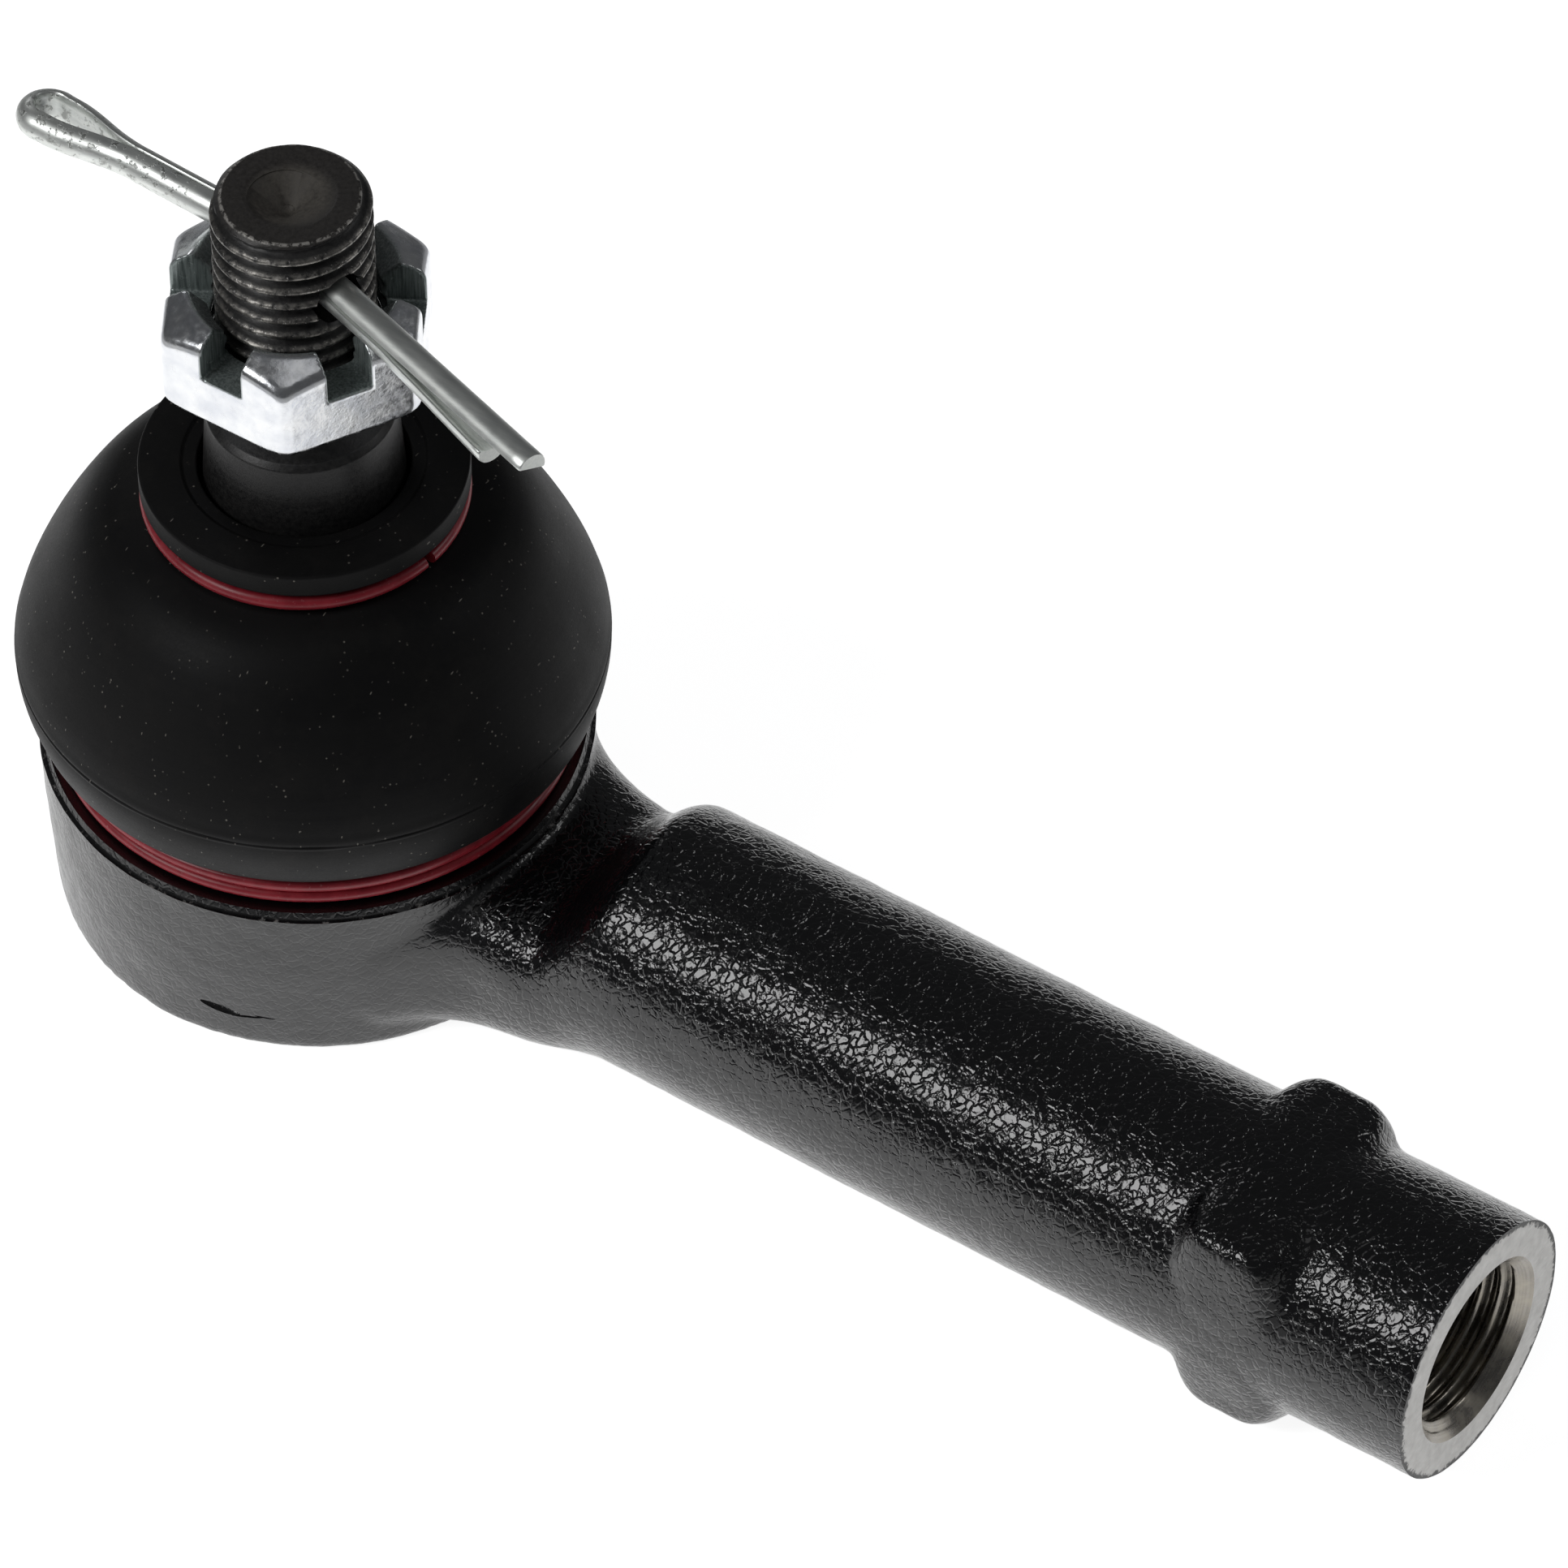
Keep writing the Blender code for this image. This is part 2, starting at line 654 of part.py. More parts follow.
def build_dust_boot():
    rubber = material("boot_rubber", (0.014, 0.014, 0.015), 0.5, 0.0)
    bead_out = LOWER_CLIP_RADIUS - LOWER_CLIP_WIRE - GAP
    bead_in = GROOVE_RADIUS + GAP
    collar = [
        (BOOT_BORE_RADIUS, RING_TOP_Z + GAP),
        (LIP_INNER_RADIUS, RING_TOP_Z + GAP),
        (LIP_INNER_RADIUS, COLLAR_TOP_Z),
        (COLLAR_RADIUS - 0.15, COLLAR_TOP_Z),
        (COLLAR_RADIUS, COLLAR_TOP_Z - 0.2),
        (COLLAR_RADIUS, COLLAR_BOTTOM_Z),
        (BOOT_NECK_RADIUS, COLLAR_BOTTOM_Z),
        (BOOT_NECK_RADIUS, 39.45),
    ]
    bead = [
        (bead_out, 18.6),
        (bead_out, RIM_Z + 0.45),
        (bead_in, RIM_Z + 0.45),
        (bead_in, GROOVE_TOP_Z - GAP),
    ]
    bore = [(BOOT_BORE_RADIUS, 38.6)]
    profile = collar + boot_outer() + bead + boot_inner() + bore
    return add_object("dust_boot", turned(profile, HEAD_STEPS), rubber)


def build_collar_ring():
    steel = material("ring_steel", (0.05, 0.05, 0.055), 0.35, 0.6)
    profile = [
        (RING_INNER_RADIUS, RING_BOTTOM_Z),
        (RING_OUTER_RADIUS, RING_BOTTOM_Z),
        (RING_OUTER_RADIUS, RING_TOP_Z),
        (RING_INNER_RADIUS, RING_TOP_Z),
    ]
    return add_object("boot_collar_ring", turned(profile, MID_STEPS), steel)


def wound_clip(name, radius, wire, start_z, pitch, start_deg, turns, mat):
    """A round-wire clip of flat turns, with a short step up after each turn."""
    count = round(MID_STEPS * turns)
    sections = []
    for i in range(count + 1):
        sweep = 360.0 * turns * i / count
        angle = start_deg + sweep
        step = sweep // 360.0 + smoothstep(sweep % 360.0, 360.0 - CLIP_STEP_DEG, 360.0)
        centre_z = start_z + pitch * step
        section = []
        for k in range(6):
            dr, dz = polar(wire, 60.0 * k)
            x, y = polar(radius + dr, angle)
            section.append((x, y, centre_z + dz))
        sections.append(section)
    return add_object(name, lofted(sections), mat)


def build_clips():
    red = material("red_clip", (0.30, 0.01, 0.02), 0.35, 0.0)
    upper = wound_clip("boot_upper_clip", UPPER_CLIP_RADIUS, UPPER_CLIP_WIRE,
                       UPPER_CLIP_Z, 0.0, UPPER_CLIP_START, UPPER_CLIP_TURNS, red)
    lower = wound_clip("boot_lower_clip", LOWER_CLIP_RADIUS, LOWER_CLIP_WIRE,
                       LOWER_CLIP_Z, LOWER_CLIP_PITCH, LOWER_CLIP_START, LOWER_CLIP_TURNS, red)
    return [upper, lower]


# ---------------------------------------------------------------- assembly

def pivot(name, parent=None):
    """An empty at the ball's centre, which the moving pieces turn about."""
    empty = bpy.data.objects.new(name, None)
    bpy.context.scene.collection.objects.link(empty)
    if parent is None:
        empty.location = (0.0, 0.0, BALL_CENTRE_Z * MM)
    else:
        empty.parent = parent
    return empty


def hang_on(pieces, empty):
    for piece in pieces:
        piece.parent = empty
        piece.location = piece.location - Vector((0.0, 0.0, BALL_CENTRE_Z * MM))


def main():
    clear_scene()
    build_housing()
    build_end_cover()
    build_preload_spring()
    build_pressure_plate()
    bearing = build_bearing_seats()
    upper_clip, _ = build_clips()
    collar = [build_dust_boot(), build_collar_ring(), upper_clip]
    stud = [build_ball_stud(), build_castle_nut(), build_cotter_pin()]
    swing_direction = pivot("swing_direction_axis")
    stud_swing = pivot("stud_swing_axis", swing_direction)
    stud_spin = pivot("stud_spin_axis", stud_swing)
    hang_on(bearing, swing_direction)
    hang_on(collar, stud_swing)
    hang_on(stud, stud_spin)


main()
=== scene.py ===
import math

import bmesh
import bpy
import numpy as np
from mathutils import Matrix, Vector, noise


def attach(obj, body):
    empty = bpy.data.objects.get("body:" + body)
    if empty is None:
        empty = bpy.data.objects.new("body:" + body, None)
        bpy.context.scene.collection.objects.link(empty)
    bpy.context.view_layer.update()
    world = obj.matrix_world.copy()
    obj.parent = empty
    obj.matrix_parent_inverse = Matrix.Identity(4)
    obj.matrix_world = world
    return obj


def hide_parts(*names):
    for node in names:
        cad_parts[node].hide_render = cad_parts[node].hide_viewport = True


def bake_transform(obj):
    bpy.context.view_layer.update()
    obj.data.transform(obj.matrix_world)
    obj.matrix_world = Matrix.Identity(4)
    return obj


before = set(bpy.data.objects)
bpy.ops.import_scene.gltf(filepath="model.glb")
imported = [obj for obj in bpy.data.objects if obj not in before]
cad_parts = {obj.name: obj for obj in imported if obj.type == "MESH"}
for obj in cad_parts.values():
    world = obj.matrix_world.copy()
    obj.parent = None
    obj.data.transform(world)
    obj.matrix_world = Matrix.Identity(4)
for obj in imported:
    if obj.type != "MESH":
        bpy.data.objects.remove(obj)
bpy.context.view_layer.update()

MM = 0.001

# Ball stud
BALL_RADIUS = 11.0
BALL_CENTRE_Z = 13.5
BALL_FLAT_DROP = 8.9
NECK_RADIUS = 6.1
WAIST_RADIUS = 7.3
TAPER_BIG_RADIUS = 7.63
TAPER_SMALL_RADIUS = 7.17
TAPER_BASE_Z = 41.5
TAPER_TOP_Z = 49.2
RELIEF_RADIUS = 5.3
STUD_THREAD_RADIUS = 6.0
STUD_THREAD_START_Z = 53.5
STUD_TOP_Z = 71.05
STUD_END_RADIUS = 5.15
DIMPLE_RADIUS = 3.05
DIMPLE_DEPTH = 2.3
THREAD_PITCH = 1.5
STUD_THREAD_DEPTH = 0.78
STUD_CREST_Z = 66.7            # height of a thread crest at the azimuth below
STUD_CREST_AZIMUTH = -54.5

# Hole for the cotter pin
HOLE_RADIUS = 2.1
HOLE_MOUTH_RADIUS = 2.7
HOLE_Z = 64.45
HOLE_AZIMUTH = -16.0

# Castle nut
NUT_FLATS = 19.0
NUT_BOTTOM_Z = 54.6
NUT_SLOT_Z = 58.85
NUT_RIDGE_Z = 62.6
NUT_RIDGE_RADIUS = 8.0
NUT_CONE_DEG = 30.0
NUT_SLOT_WIDTH = 3.55
NUT_FACE_AZIMUTH = 30.7
NUT_BORE_RADIUS = 6.3
NUT_SOFTNESS = 0.7            # how far its plated edges are rounded
NUT_VOXEL = 0.2

# Cotter pin
PIN_RADIUS = 1.3
PIN_SPLIT = 0.14
PIN_FRONT_AZIMUTH = -16.5
PIN_REAR_AZIMUTH = 177.6
PIN_BEND_AT = -4.5
PIN_FRONT_Z = 64.85
PIN_REAR_Z = 64.1
PIN_LONG_LEG = 28.2
PIN_SHORT_LEG = 24.1
PIN_EYE_START = -16.5
PIN_EYE_CENTRE = -24.0
PIN_EYE_RADIUS = 1.25
PIN_TILT_REAR_DEG = 190.0
PIN_TILT_FRONT_DEG = 112.0
PIN_SPREAD = 1.1

# Housing
HEAD_BOTTOM_RADIUS = 20.1
HEAD_BAND_RADIUS = 20.75
HEAD_BAND_Z = 7.5
RIM_RADIUS = 21.15
RIM_Z = 15.8
GROOVE_RADIUS = 17.4
GROOVE_TOP_Z = 19.7
LIP_RADIUS = 18.4
LIP_TOP_Z = 21.4
HEAD_TOP_Z = 22.5
MOUTH_RADIUS = 11.2
THROAT_RADIUS = 10.0
THROAT_Z = 20.0
SOCKET_RADIUS = 14.5
SOCKET_TOP_Z = 16.5
SEAT_Z = 3.0
COUNTERBORE_RADIUS = 17.0
CRIMP_Z = 1.1
CRIMP_RADIUS = 14.9
FORGING_VOXEL = 0.38
FORGING_SOFTENING = 9          # rounds of smoothing where its forms meet
SKIN_WAVES = ((0.055, 0.22), (0.035, 0.55), (0.022, 1.15))    # height, waves per mm
SCARS = (                      # azimuth, z, length, height, depth, tilt
    (-76.3, 3.65, 3.3, 0.85, 0.60, -9.0),
    (-70.2, 3.35, 2.6, 0.24, 0.30, 10.0),
    (-66.3, 3.60, 1.6, 0.16, 0.25, -4.0),
)

# Shank
SHANK_Z = 10.6
SHANK_END_X = 104.5
BARREL_RADIUS = 10.47
BARREL_START_X = 32.0
STEP_START_X = 25.5
NECK_TOP_Z = 14.7
NECK_BOTTOM_Z = 0.5
NECK_FILLET_FRONT = 8.5
NECK_FILLET_BACK = 13.0
LOFT_START_X = 11.0
LUG_PLACES = ((45.0, 87.2), (135.0, 88.2), (225.0, 88.2), (315.0, 87.2))    # angle, x
LUG_LAYERS = (                 # height from the shank's axis, length, width
    (8.8, 9.6, 12.0),
    (10.2, 9.2, 8.4),
    (11.4, 8.2, 5.0),
    (12.2, 6.7, 2.7),
    (12.8, 4.4, 1.1),
)
BORE_RADIUS = 6.35
BORE_ROOT_RADIUS = 7.0
BORE_MOUTH_RADIUS = 7.55
BORE_CHAMFER = 1.2
BORE_DEPTH = 42.0
BORE_THREAD_LENGTH = 30.0

# End cover
COVER_FLANGE_RADIUS = 16.7
COVER_THICKNESS = 1.4
COVER_DISH_RADIUS = 14.3
COVER_FLOOR_RADIUS = 13.4
GAP = 0.3

# Dust boot, its ring and its clips
BOOT_WALL = 1.7
COLLAR_RADIUS = 12.38
COLLAR_TOP_Z = 43.5
COLLAR_BOTTOM_Z = 41.5
BOOT_NECK_RADIUS = 11.1
BOOT_BORE_RADIUS = 9.4
BOOT_EQUATOR_RADIUS = 22.4
BOOT_EQUATOR_Z = 25.05
PARTING_FROM_RADIUS = 21.5     # the parting line lies outside this radius
PARTING_ROWS = (0.35, 0.16, 0.08, 0.04, 0.0, -0.04, -0.08, -0.16, -0.26, -0.4)
RING_INNER_RADIUS = 8.0
RING_OUTER_RADIUS = 9.1
RING_BOTTOM_Z = 40.6
RING_TOP_Z = 42.6
LIP_INNER_RADIUS = 7.95
UPPER_CLIP_RADIUS = 11.78
UPPER_CLIP_WIRE = 0.6
UPPER_CLIP_Z = 40.35
UPPER_CLIP_START = -3.0
UPPER_CLIP_TURNS = 0.99
LOWER_CLIP_RADIUS = 19.45
LOWER_CLIP_WIRE = 0.52
LOWER_CLIP_Z = 16.6
LOWER_CLIP_PITCH = 1.15
LOWER_CLIP_START = 150.0
LOWER_CLIP_TURNS = 1.95
CLIP_STEP_DEG = 30.0

# Facet counts
FINE_STEPS = 160
THREAD_STEPS = 120
ROWS_PER_PITCH = 18
SMALL_STEPS = 128

# Camera: azimuth 0 looks along +Y
CAMERA_AZIMUTH = 35.494
CAMERA_ELEVATION = 47.409
CAMERA_ROLL = -0.968
CAMERA_DISTANCE = 1037.791
CAMERA_TARGET = (43.178, 0.0, 34.096)
CAMERA_LENS = 324.588
CAMERA_SENSOR = 36.0

# Lit part of the floor: direction, middle and half width of its two pairs of sides
TABLE_SIDES = (((0.814, 0.581), 0.0, 140.0), ((0.581, -0.814), -36.0, 91.0))
TABLE_FADE = 16.0
FLOOR_GLOW = 1.0
FLOOR_RADIUS = 3000.0

# Softboxes: azimuth from +X, elevation; distance, width and height in metres; radiance
SOFTBOXES = {
    "key_softbox": (-121.0, 40.0, 0.9, 0.38, 0.32, 6.0),
    "right_back_softbox": (42.0, 34.0, 1.0, 0.30, 0.22, 3.0),
    "back_softbox": (150.0, 28.0, 1.1, 0.30, 0.22, 2.0),
    "top_panel": (-48.0, 74.0, 1.0, 0.42, 0.34, 0.42),
}
SOFTBOX_TARGET = (45.0, 0.0, 20.0)
WORLD_COLOUR = (0.95, 0.97, 1.0)
WORLD_STRENGTH = 0.075


# ---- mesh helpers

def polar(radius, degrees):
    angle = math.radians(degrees)
    return radius * math.cos(angle), radius * math.sin(angle)


def turned_about(axis, degrees):
    return Matrix.Rotation(math.radians(degrees), 4, axis)


def powered(value, power):
    """The power of a value, keeping its sign."""
    return math.copysign(abs(value) ** power, value)


def smoothstep(value, low, high):
    t = np.clip((value - low) / (high - low), 0.0, 1.0)
    return t * t * (3 - 2 * t)


def arc(centre_r, centre_z, radius, start_deg, end_deg, steps):
    """Points (r, z) on a circle in a turned profile."""
    points = []
    for i in range(steps + 1):
        dr, dz = polar(radius, start_deg + (end_deg - start_deg) * i / steps)
        points.append((centre_r + dr, centre_z + dz))
    return points


def rounded(points, radius, steps=4, closed=True):
    """The outline with each corner turned into a small arc."""
    out = []
    last = len(points) - 1
    for i, point in enumerate(points):
        if not closed and i in (0, last):
            out.append(tuple(point))
            continue
        corner = Vector(point)
        before = Vector(points[i - 1]) - corner
        after = Vector(points[(i + 1) % len(points)]) - corner
        half = before.angle(after) / 2
        if half > math.radians(87):
            out.append(tuple(corner))
            continue
        reach = min(radius / math.tan(half), 0.45 * before.length, 0.45 * after.length)
        start = corner + before.normalized() * reach
        end = corner + after.normalized() * reach
        for k in range(steps + 1):
            t = k / steps
            out.append(tuple(start * (1 - t) ** 2 + corner * (2 * t * (1 - t)) + end * t * t))
    return out


def smooth_curve(points, per_span):
    """A Catmull-Rom curve through (r, z) points, for a flowing profile."""
    out = []
    last = len(points) - 1
    for i in range(last):
        p0 = Vector(points[max(i - 1, 0)])
        p1 = Vector(points[i])
        p2 = Vector(points[i + 1])
        p3 = Vector(points[min(i + 2, last)])
        for k in range(per_span):
            t = k / per_span
            bend = 2 * p0 - 5 * p1 + 4 * p2 - p3
            twist = 3 * (p1 - p2) + p3 - p0
            out.append(tuple(0.5 * (2 * p1 + (p2 - p0) * t + bend * t * t + twist * t ** 3)))
    out.append(tuple(points[last]))
    return out


def linked(name, data):
    """A new object in the scene."""
    obj = bpy.data.objects.new(name, data)
    bpy.context.scene.collection.objects.link(obj)
    return obj


def finished(name, bm, smooth_deg=40):
    """An object from a bmesh in metres, its doubles merged and its faces out."""
    bmesh.ops.remove_doubles(bm, verts=bm.verts, dist=2e-7)
    bmesh.ops.recalc_face_normals(bm, faces=bm.faces)
    mesh = bpy.data.meshes.new(name)
    bm.to_mesh(mesh)
    bm.free()
    obj = linked(name, mesh)
    shade(obj, smooth_deg)
    return obj


def ringed(name, rings, loop=False, smooth_deg=40):
    """Closed solid through rings of points, capped, or closed on itself as a loop."""
    bm = bmesh.new()
    rows = [[bm.verts.new(Vector(p) * MM) for p in ring] for ring in rings]
    pairs = list(zip(rows, rows[1:]))
    if loop:
        pairs.append((rows[-1], rows[0]))
    for a, b in pairs:
        for i in range(len(a)):
            j = (i + 1) % len(a)
            bm.faces.new((a[i], a[j], b[j], b[i]))
    if not loop:
        bm.faces.new(rows[0])
        bm.faces.new(rows[-1])
    return finished(name, bm, smooth_deg)


def turned(name, profile, steps, loop=True, smooth_deg=40):
    """Solid of revolution about Z. Without loop its ends close on the axis."""
    rings = []
    for r, z in profile:
        radius = max(r, 1e-5)
        rings.append([(*polar(radius, 360.0 * i / steps), z) for i in range(steps)])
    return ringed(name, rings, loop, smooth_deg)


def drop(*objects):
    """Delete the objects."""
    for obj in objects:
        bpy.data.objects.remove(obj, do_unlink=True)


def settle(obj):
    """Apply the object's modifiers to its mesh."""
    bpy.context.view_layer.update()
    graph = bpy.context.evaluated_depsgraph_get()
    mesh = bpy.data.meshes.new_from_object(obj.evaluated_get(graph))
    obj.modifiers.clear()
    old = obj.data
    obj.data = mesh
    bpy.data.meshes.remove(old)


def cut(obj, *cutters, operation="DIFFERENCE"):
    """Boolean the cutters with obj, apply and delete them."""
    for cutter in cutters:
        mod = obj.modifiers.new(cutter.name, "BOOLEAN")
        mod.operation = operation
        mod.solver = "MANIFOLD"
        mod.object = cutter
    settle(obj)
    drop(*cutters)


def relax(obj, rounds):
    """Smooth the mesh by moving each point towards its neighbours."""
    mod = obj.modifiers.new("relax", "SMOOTH")
    mod.factor = 0.5
    mod.iterations = rounds
    settle(obj)


def remesh(obj, voxel):
    mod = obj.modifiers.new("remesh", "REMESH")
    mod.mode = "VOXEL"
    mod.voxel_size = voxel * MM
    settle(obj)


def read_vectors(items, key):
    flat = np.empty(len(items) * 3)
    items.foreach_get(key, flat)
    return flat.reshape(-1, 3)


def read_points(obj):
    """Vertex positions in millimetres."""
    return read_vectors(obj.data.vertices, "co") / MM


def write_points(obj, points):
    obj.data.vertices.foreach_set("co", (points * MM).ravel())
    obj.data.update()


def keep_rest(obj):
    """Store each point's place in millimetres, which the materials read."""
    rest = obj.data.attributes.new("rest_mm", "FLOAT_VECTOR", "POINT")
    rest.data.foreach_set("vector", read_points(obj).ravel())


def shade(obj, degrees):
    obj.data.shade_smooth()
    obj.data.set_sharp_from_angle(angle=math.radians(degrees))


def paint(obj, *materials):
    """The finished mesh with its materials, which find their places by rest_mm."""
    keep_rest(obj)
    obj.data.materials.clear()
    for mat in materials:
        obj.data.materials.append(mat)
    return obj


def thread_depth(turns):
    """How far below its crest a rounded V thread lies: 0 at the crest, 1 at the root."""
    away = np.abs((turns + 0.5) % 1.0 - 0.5) * 2
    flank = np.clip((away - 0.12) / 0.74, 0.0, 1.0)
    return 0.45 * flank + 0.55 * flank * flank * (3 - 2 * flank)


# ---- shader helpers

class Shading:
    """One procedural material, with short calls for the nodes that it uses."""

    def __init__(self, name, source="rest"):
        self.mat = bpy.data.materials.new(name)
        self.mat.use_nodes = True
        self.tree = self.mat.node_tree
        self.shader = self.tree.nodes["Principled BSDF"]
        if source == "rest":
            self.place = self.node("ShaderNodeAttribute", attribute_name="rest_mm").outputs["Vector"]
        else:
            place = self.node("ShaderNodeTexCoord").outputs["Object"]
            self.place = self.vector("MULTIPLY", place, (1 / MM,) * 3)[0]
        self.bumped = None

    def node(self, kind, inputs=(), **settings):
        node = self.tree.nodes.new(kind)
        for key, value in settings.items():
            setattr(node, key, value)
        for key, value in dict(inputs).items():
            self.feed(node.inputs[key], value)
        return node

    def feed(self, socket, value):
        """Link the value to the socket, or set it there."""
        if isinstance(value, bpy.types.NodeSocket):
            self.tree.links.new(value, socket)
        else:
            socket.default_value = value

    def vector(self, operation, a, b=(0.0, 0.0, 0.0)):
        return self.node("ShaderNodeVectorMath", {0: a, 1: b}, operation=operation).outputs

    def stretched(self, scale, turn=(0.0, 0.0, 0.0)):
        return self.node("ShaderNodeMapping", {
            "Vector": self.place, "Scale": scale, "Rotation": turn}).outputs["Vector"]

    def noise(self, scale, detail=3.0, rough=0.55, place=None, distort=0.0):
        return self.node("ShaderNodeTexNoise", {
            "Vector": place or self.place, "Scale": scale, "Detail": detail,
            "Roughness": rough, "Distortion": distort}).outputs["Fac"]

    def cells(self, scale, place=None, feature="F1"):
        return self.node("ShaderNodeTexVoronoi", {
            "Vector": place or self.place, "Scale": scale}, feature=feature)

    def bands(self, distance, scale, detail=3.0):
        """Noise that changes only with the distance, as tool rings do."""
        place = self.node("ShaderNodeCombineXYZ", {"X": distance}).outputs[0]
        return self.noise(scale, detail, place=place)

    def math(self, operation, a, b=0.0):
        return self.node("ShaderNodeMath", {0: a, 1: b}, operation=operation).outputs[0]

    def times(self, a, b):
        return self.math("MULTIPLY", a, b)

    def spread(self, value, low=0.3, high=0.7, to_low=0.0, to_high=1.0):
        """Map the value from one range to another, held at its ends."""
        return self.node("ShaderNodeMapRange", {
            "Value": value, "From Min": low, "From Max": high,
            "To Min": to_low, "To Max": to_high}).outputs["Result"]

    def vary(self, value, low, high):
        """Map the middle of a noise to a range."""
        return self.spread(value, to_low=low, to_high=high)

    def axis(self, name):
        return self.node("ShaderNodeSeparateXYZ", {"Vector": self.place}).outputs[name]

    def radius(self, centre=(0.0, 0.0, 0.0), keep=(1.0, 1.0, 0.0)):
        """Distance from an axis through centre; keep has a zero along the axis."""
        away = self.vector("SUBTRACT", self.place, centre)[0]
        flat = self.vector("MULTIPLY", away, keep)[0]
        return self.vector("LENGTH", flat)["Value"]

    def blend(self, factor, a, b):
        mix = self.node("ShaderNodeMix", {"Factor": factor}, data_type="RGBA")
        ends = [socket for socket in mix.inputs if socket.type == "RGBA"]
        for socket, colour in zip(ends, (a, b)):
            self.feed(socket, (*colour, 1.0) if isinstance(colour, tuple) else colour)
        return [socket for socket in mix.outputs if socket.type == "RGBA"][0]

    def bump(self, height, depth, strength=1.0):
        """Add a relief: height from 0 to 1 over depth millimetres."""
        inputs = {"Height": height, "Distance": depth * MM, "Strength": strength}
        if self.bumped is not None:
            inputs["Normal"] = self.bumped
        self.bumped = self.node("ShaderNodeBump", inputs).outputs["Normal"]

    def finish(self, colour, roughness, metallic=0.0, **sockets):
        sockets.update(Base_Color=colour, Roughness=roughness, Metallic=metallic)
        if self.bumped is not None:
            sockets["Normal"] = self.bumped
        for key, value in sockets.items():
            self.feed(self.shader.inputs[key.replace("_", " ")], value)
        return self.mat


# ---- materials

def forged_paint():
    """Glossy black paint over the leathery skin of a forging."""
    m = Shading("forged_paint")
    waver = m.noise(1.1, 2.0)
    drift = m.vector("ADD", m.place, waver)[0]
    creases = m.cells(1.35, place=drift, feature="DISTANCE_TO_EDGE").outputs["Distance"]
    leather = m.spread(creases, 0.0, 0.17)
    pebbles = m.noise(1.3, 2.0, 0.5, distort=0.4)
    grain = m.noise(5.0, 2.0, 0.6)
    away = m.spread(m.radius(), 21.3, 25.0)
    rough_skin = m.spread(away, 0.0, 1.0, 0.62, 1.0)
    m.bump(m.times(pebbles, rough_skin), 0.070, 0.9)
    m.bump(m.times(leather, rough_skin), 0.034, 0.9)
    m.bump(grain, 0.007, 0.8)
    dust = m.spread(m.cells(1.9).outputs["Distance"], 0.16, 0.10)
    rare = m.spread(m.noise(0.9, 1.0), 0.60, 0.66)
    dusty = m.times(dust, rare)
    blotch = m.noise(0.18, 3.0, 0.6)
    base = m.blend(blotch, (0.0020, 0.0020, 0.0025), (0.0042, 0.0042, 0.0050))
    # Painted light: the head's side is painted lighter towards its bottom, standing in for the
    # floor's light on its lower part.
    lower_side_painted_light = m.times(m.spread(m.axis("Z"), 9.6, 8.2), m.spread(away, 1.0, 0.0))
    base = m.blend(lower_side_painted_light, base, (0.012, 0.012, 0.013))
    colour = m.blend(m.times(dusty, 0.5), base, (0.10, 0.098, 0.095))
    tone = m.noise(0.6, 3.0)
    rough = m.math("ADD", m.vary(tone, 0.10, 0.16), m.spread(away, 1.0, 0.0, 0.0, 0.12))
    return m.finish(colour, rough, Specular_IOR_Level=0.75)


def machined_black():
    """Turned faces under the paint: smooth and glossy, with fine tool rings."""
    m = Shading("machined_black")
    radius = m.radius()
    rings = m.bands(radius, 9.0, 2.0)
    m.bump(rings, 0.006, 0.6)
    edge = m.spread(radius, 20.7, 20.95)
    chips = m.spread(m.noise(1.1, 4.0, 0.7), 0.55, 0.66)
    worn = m.times(edge, chips)
    colour = m.blend(worn, (0.003, 0.003, 0.0035), (0.26, 0.255, 0.25))
    rough = m.vary(m.noise(1.2), 0.16, 0.28)
    return m.finish(colour, rough, Specular_IOR_Level=0.7)


def bare_steel():
    """The shank's faced end, bare, with faint tool rings and straight scuffs."""
    m = Shading("bare_end_steel")
    radius = m.radius((SHANK_END_X, 0.0, SHANK_Z), (0.0, 1.0, 1.0))
    rings = m.bands(radius, 7.0)
    scuffs = m.noise(2.2, 4.0, place=m.stretched((1.0, 0.35, 5.0), (math.radians(62), 0.0, 0.0)))
    m.bump(rings, 0.010, 0.5)
    m.bump(scuffs, 0.012, 0.6)
    tone = m.spread(m.noise(0.9, 4.0, 0.6))
    colour = m.blend(tone, (0.30, 0.295, 0.285), (0.40, 0.395, 0.385))
    ragged = m.math("ADD", radius, m.vary(m.noise(1.6, 4.0, 0.7), -0.35, 0.35))
    colour = m.blend(m.spread(ragged, 10.0, 10.2), colour, (0.02, 0.02, 0.02))
    scratch = m.spread(scuffs, 0.62, 0.70)
    colour = m.blend(m.times(scratch, 0.6), colour, (0.62, 0.61, 0.60))
    rough = m.vary(scuffs, 0.30, 0.46)
    return m.finish(colour, rough, 1.0)


def bore_steel():
    """The tapped bore: dark cut steel with an oily shine and tool rings."""
    m = Shading("bore_steel")
    radius = m.radius((SHANK_END_X, 0.0, SHANK_Z), (0.0, 1.0, 1.0))
    rings = m.bands(radius, 6.0)
    m.bump(rings, 0.02, 0.6)
    m.bump(m.noise(5.0, 3.0, place=m.stretched((4.0, 0.6, 0.6))), 0.010, 0.5)
    cloud = m.noise(0.7, 3.0)
    colour = m.blend(m.spread(rings, 0.35, 0.65), (0.20, 0.185, 0.165), (0.34, 0.32, 0.29))
    colour = m.blend(m.spread(cloud, 0.4, 0.8), colour, (0.40, 0.37, 0.31))
    rough = m.vary(cloud, 0.22, 0.34)
    return m.finish(colour, rough, 1.0)


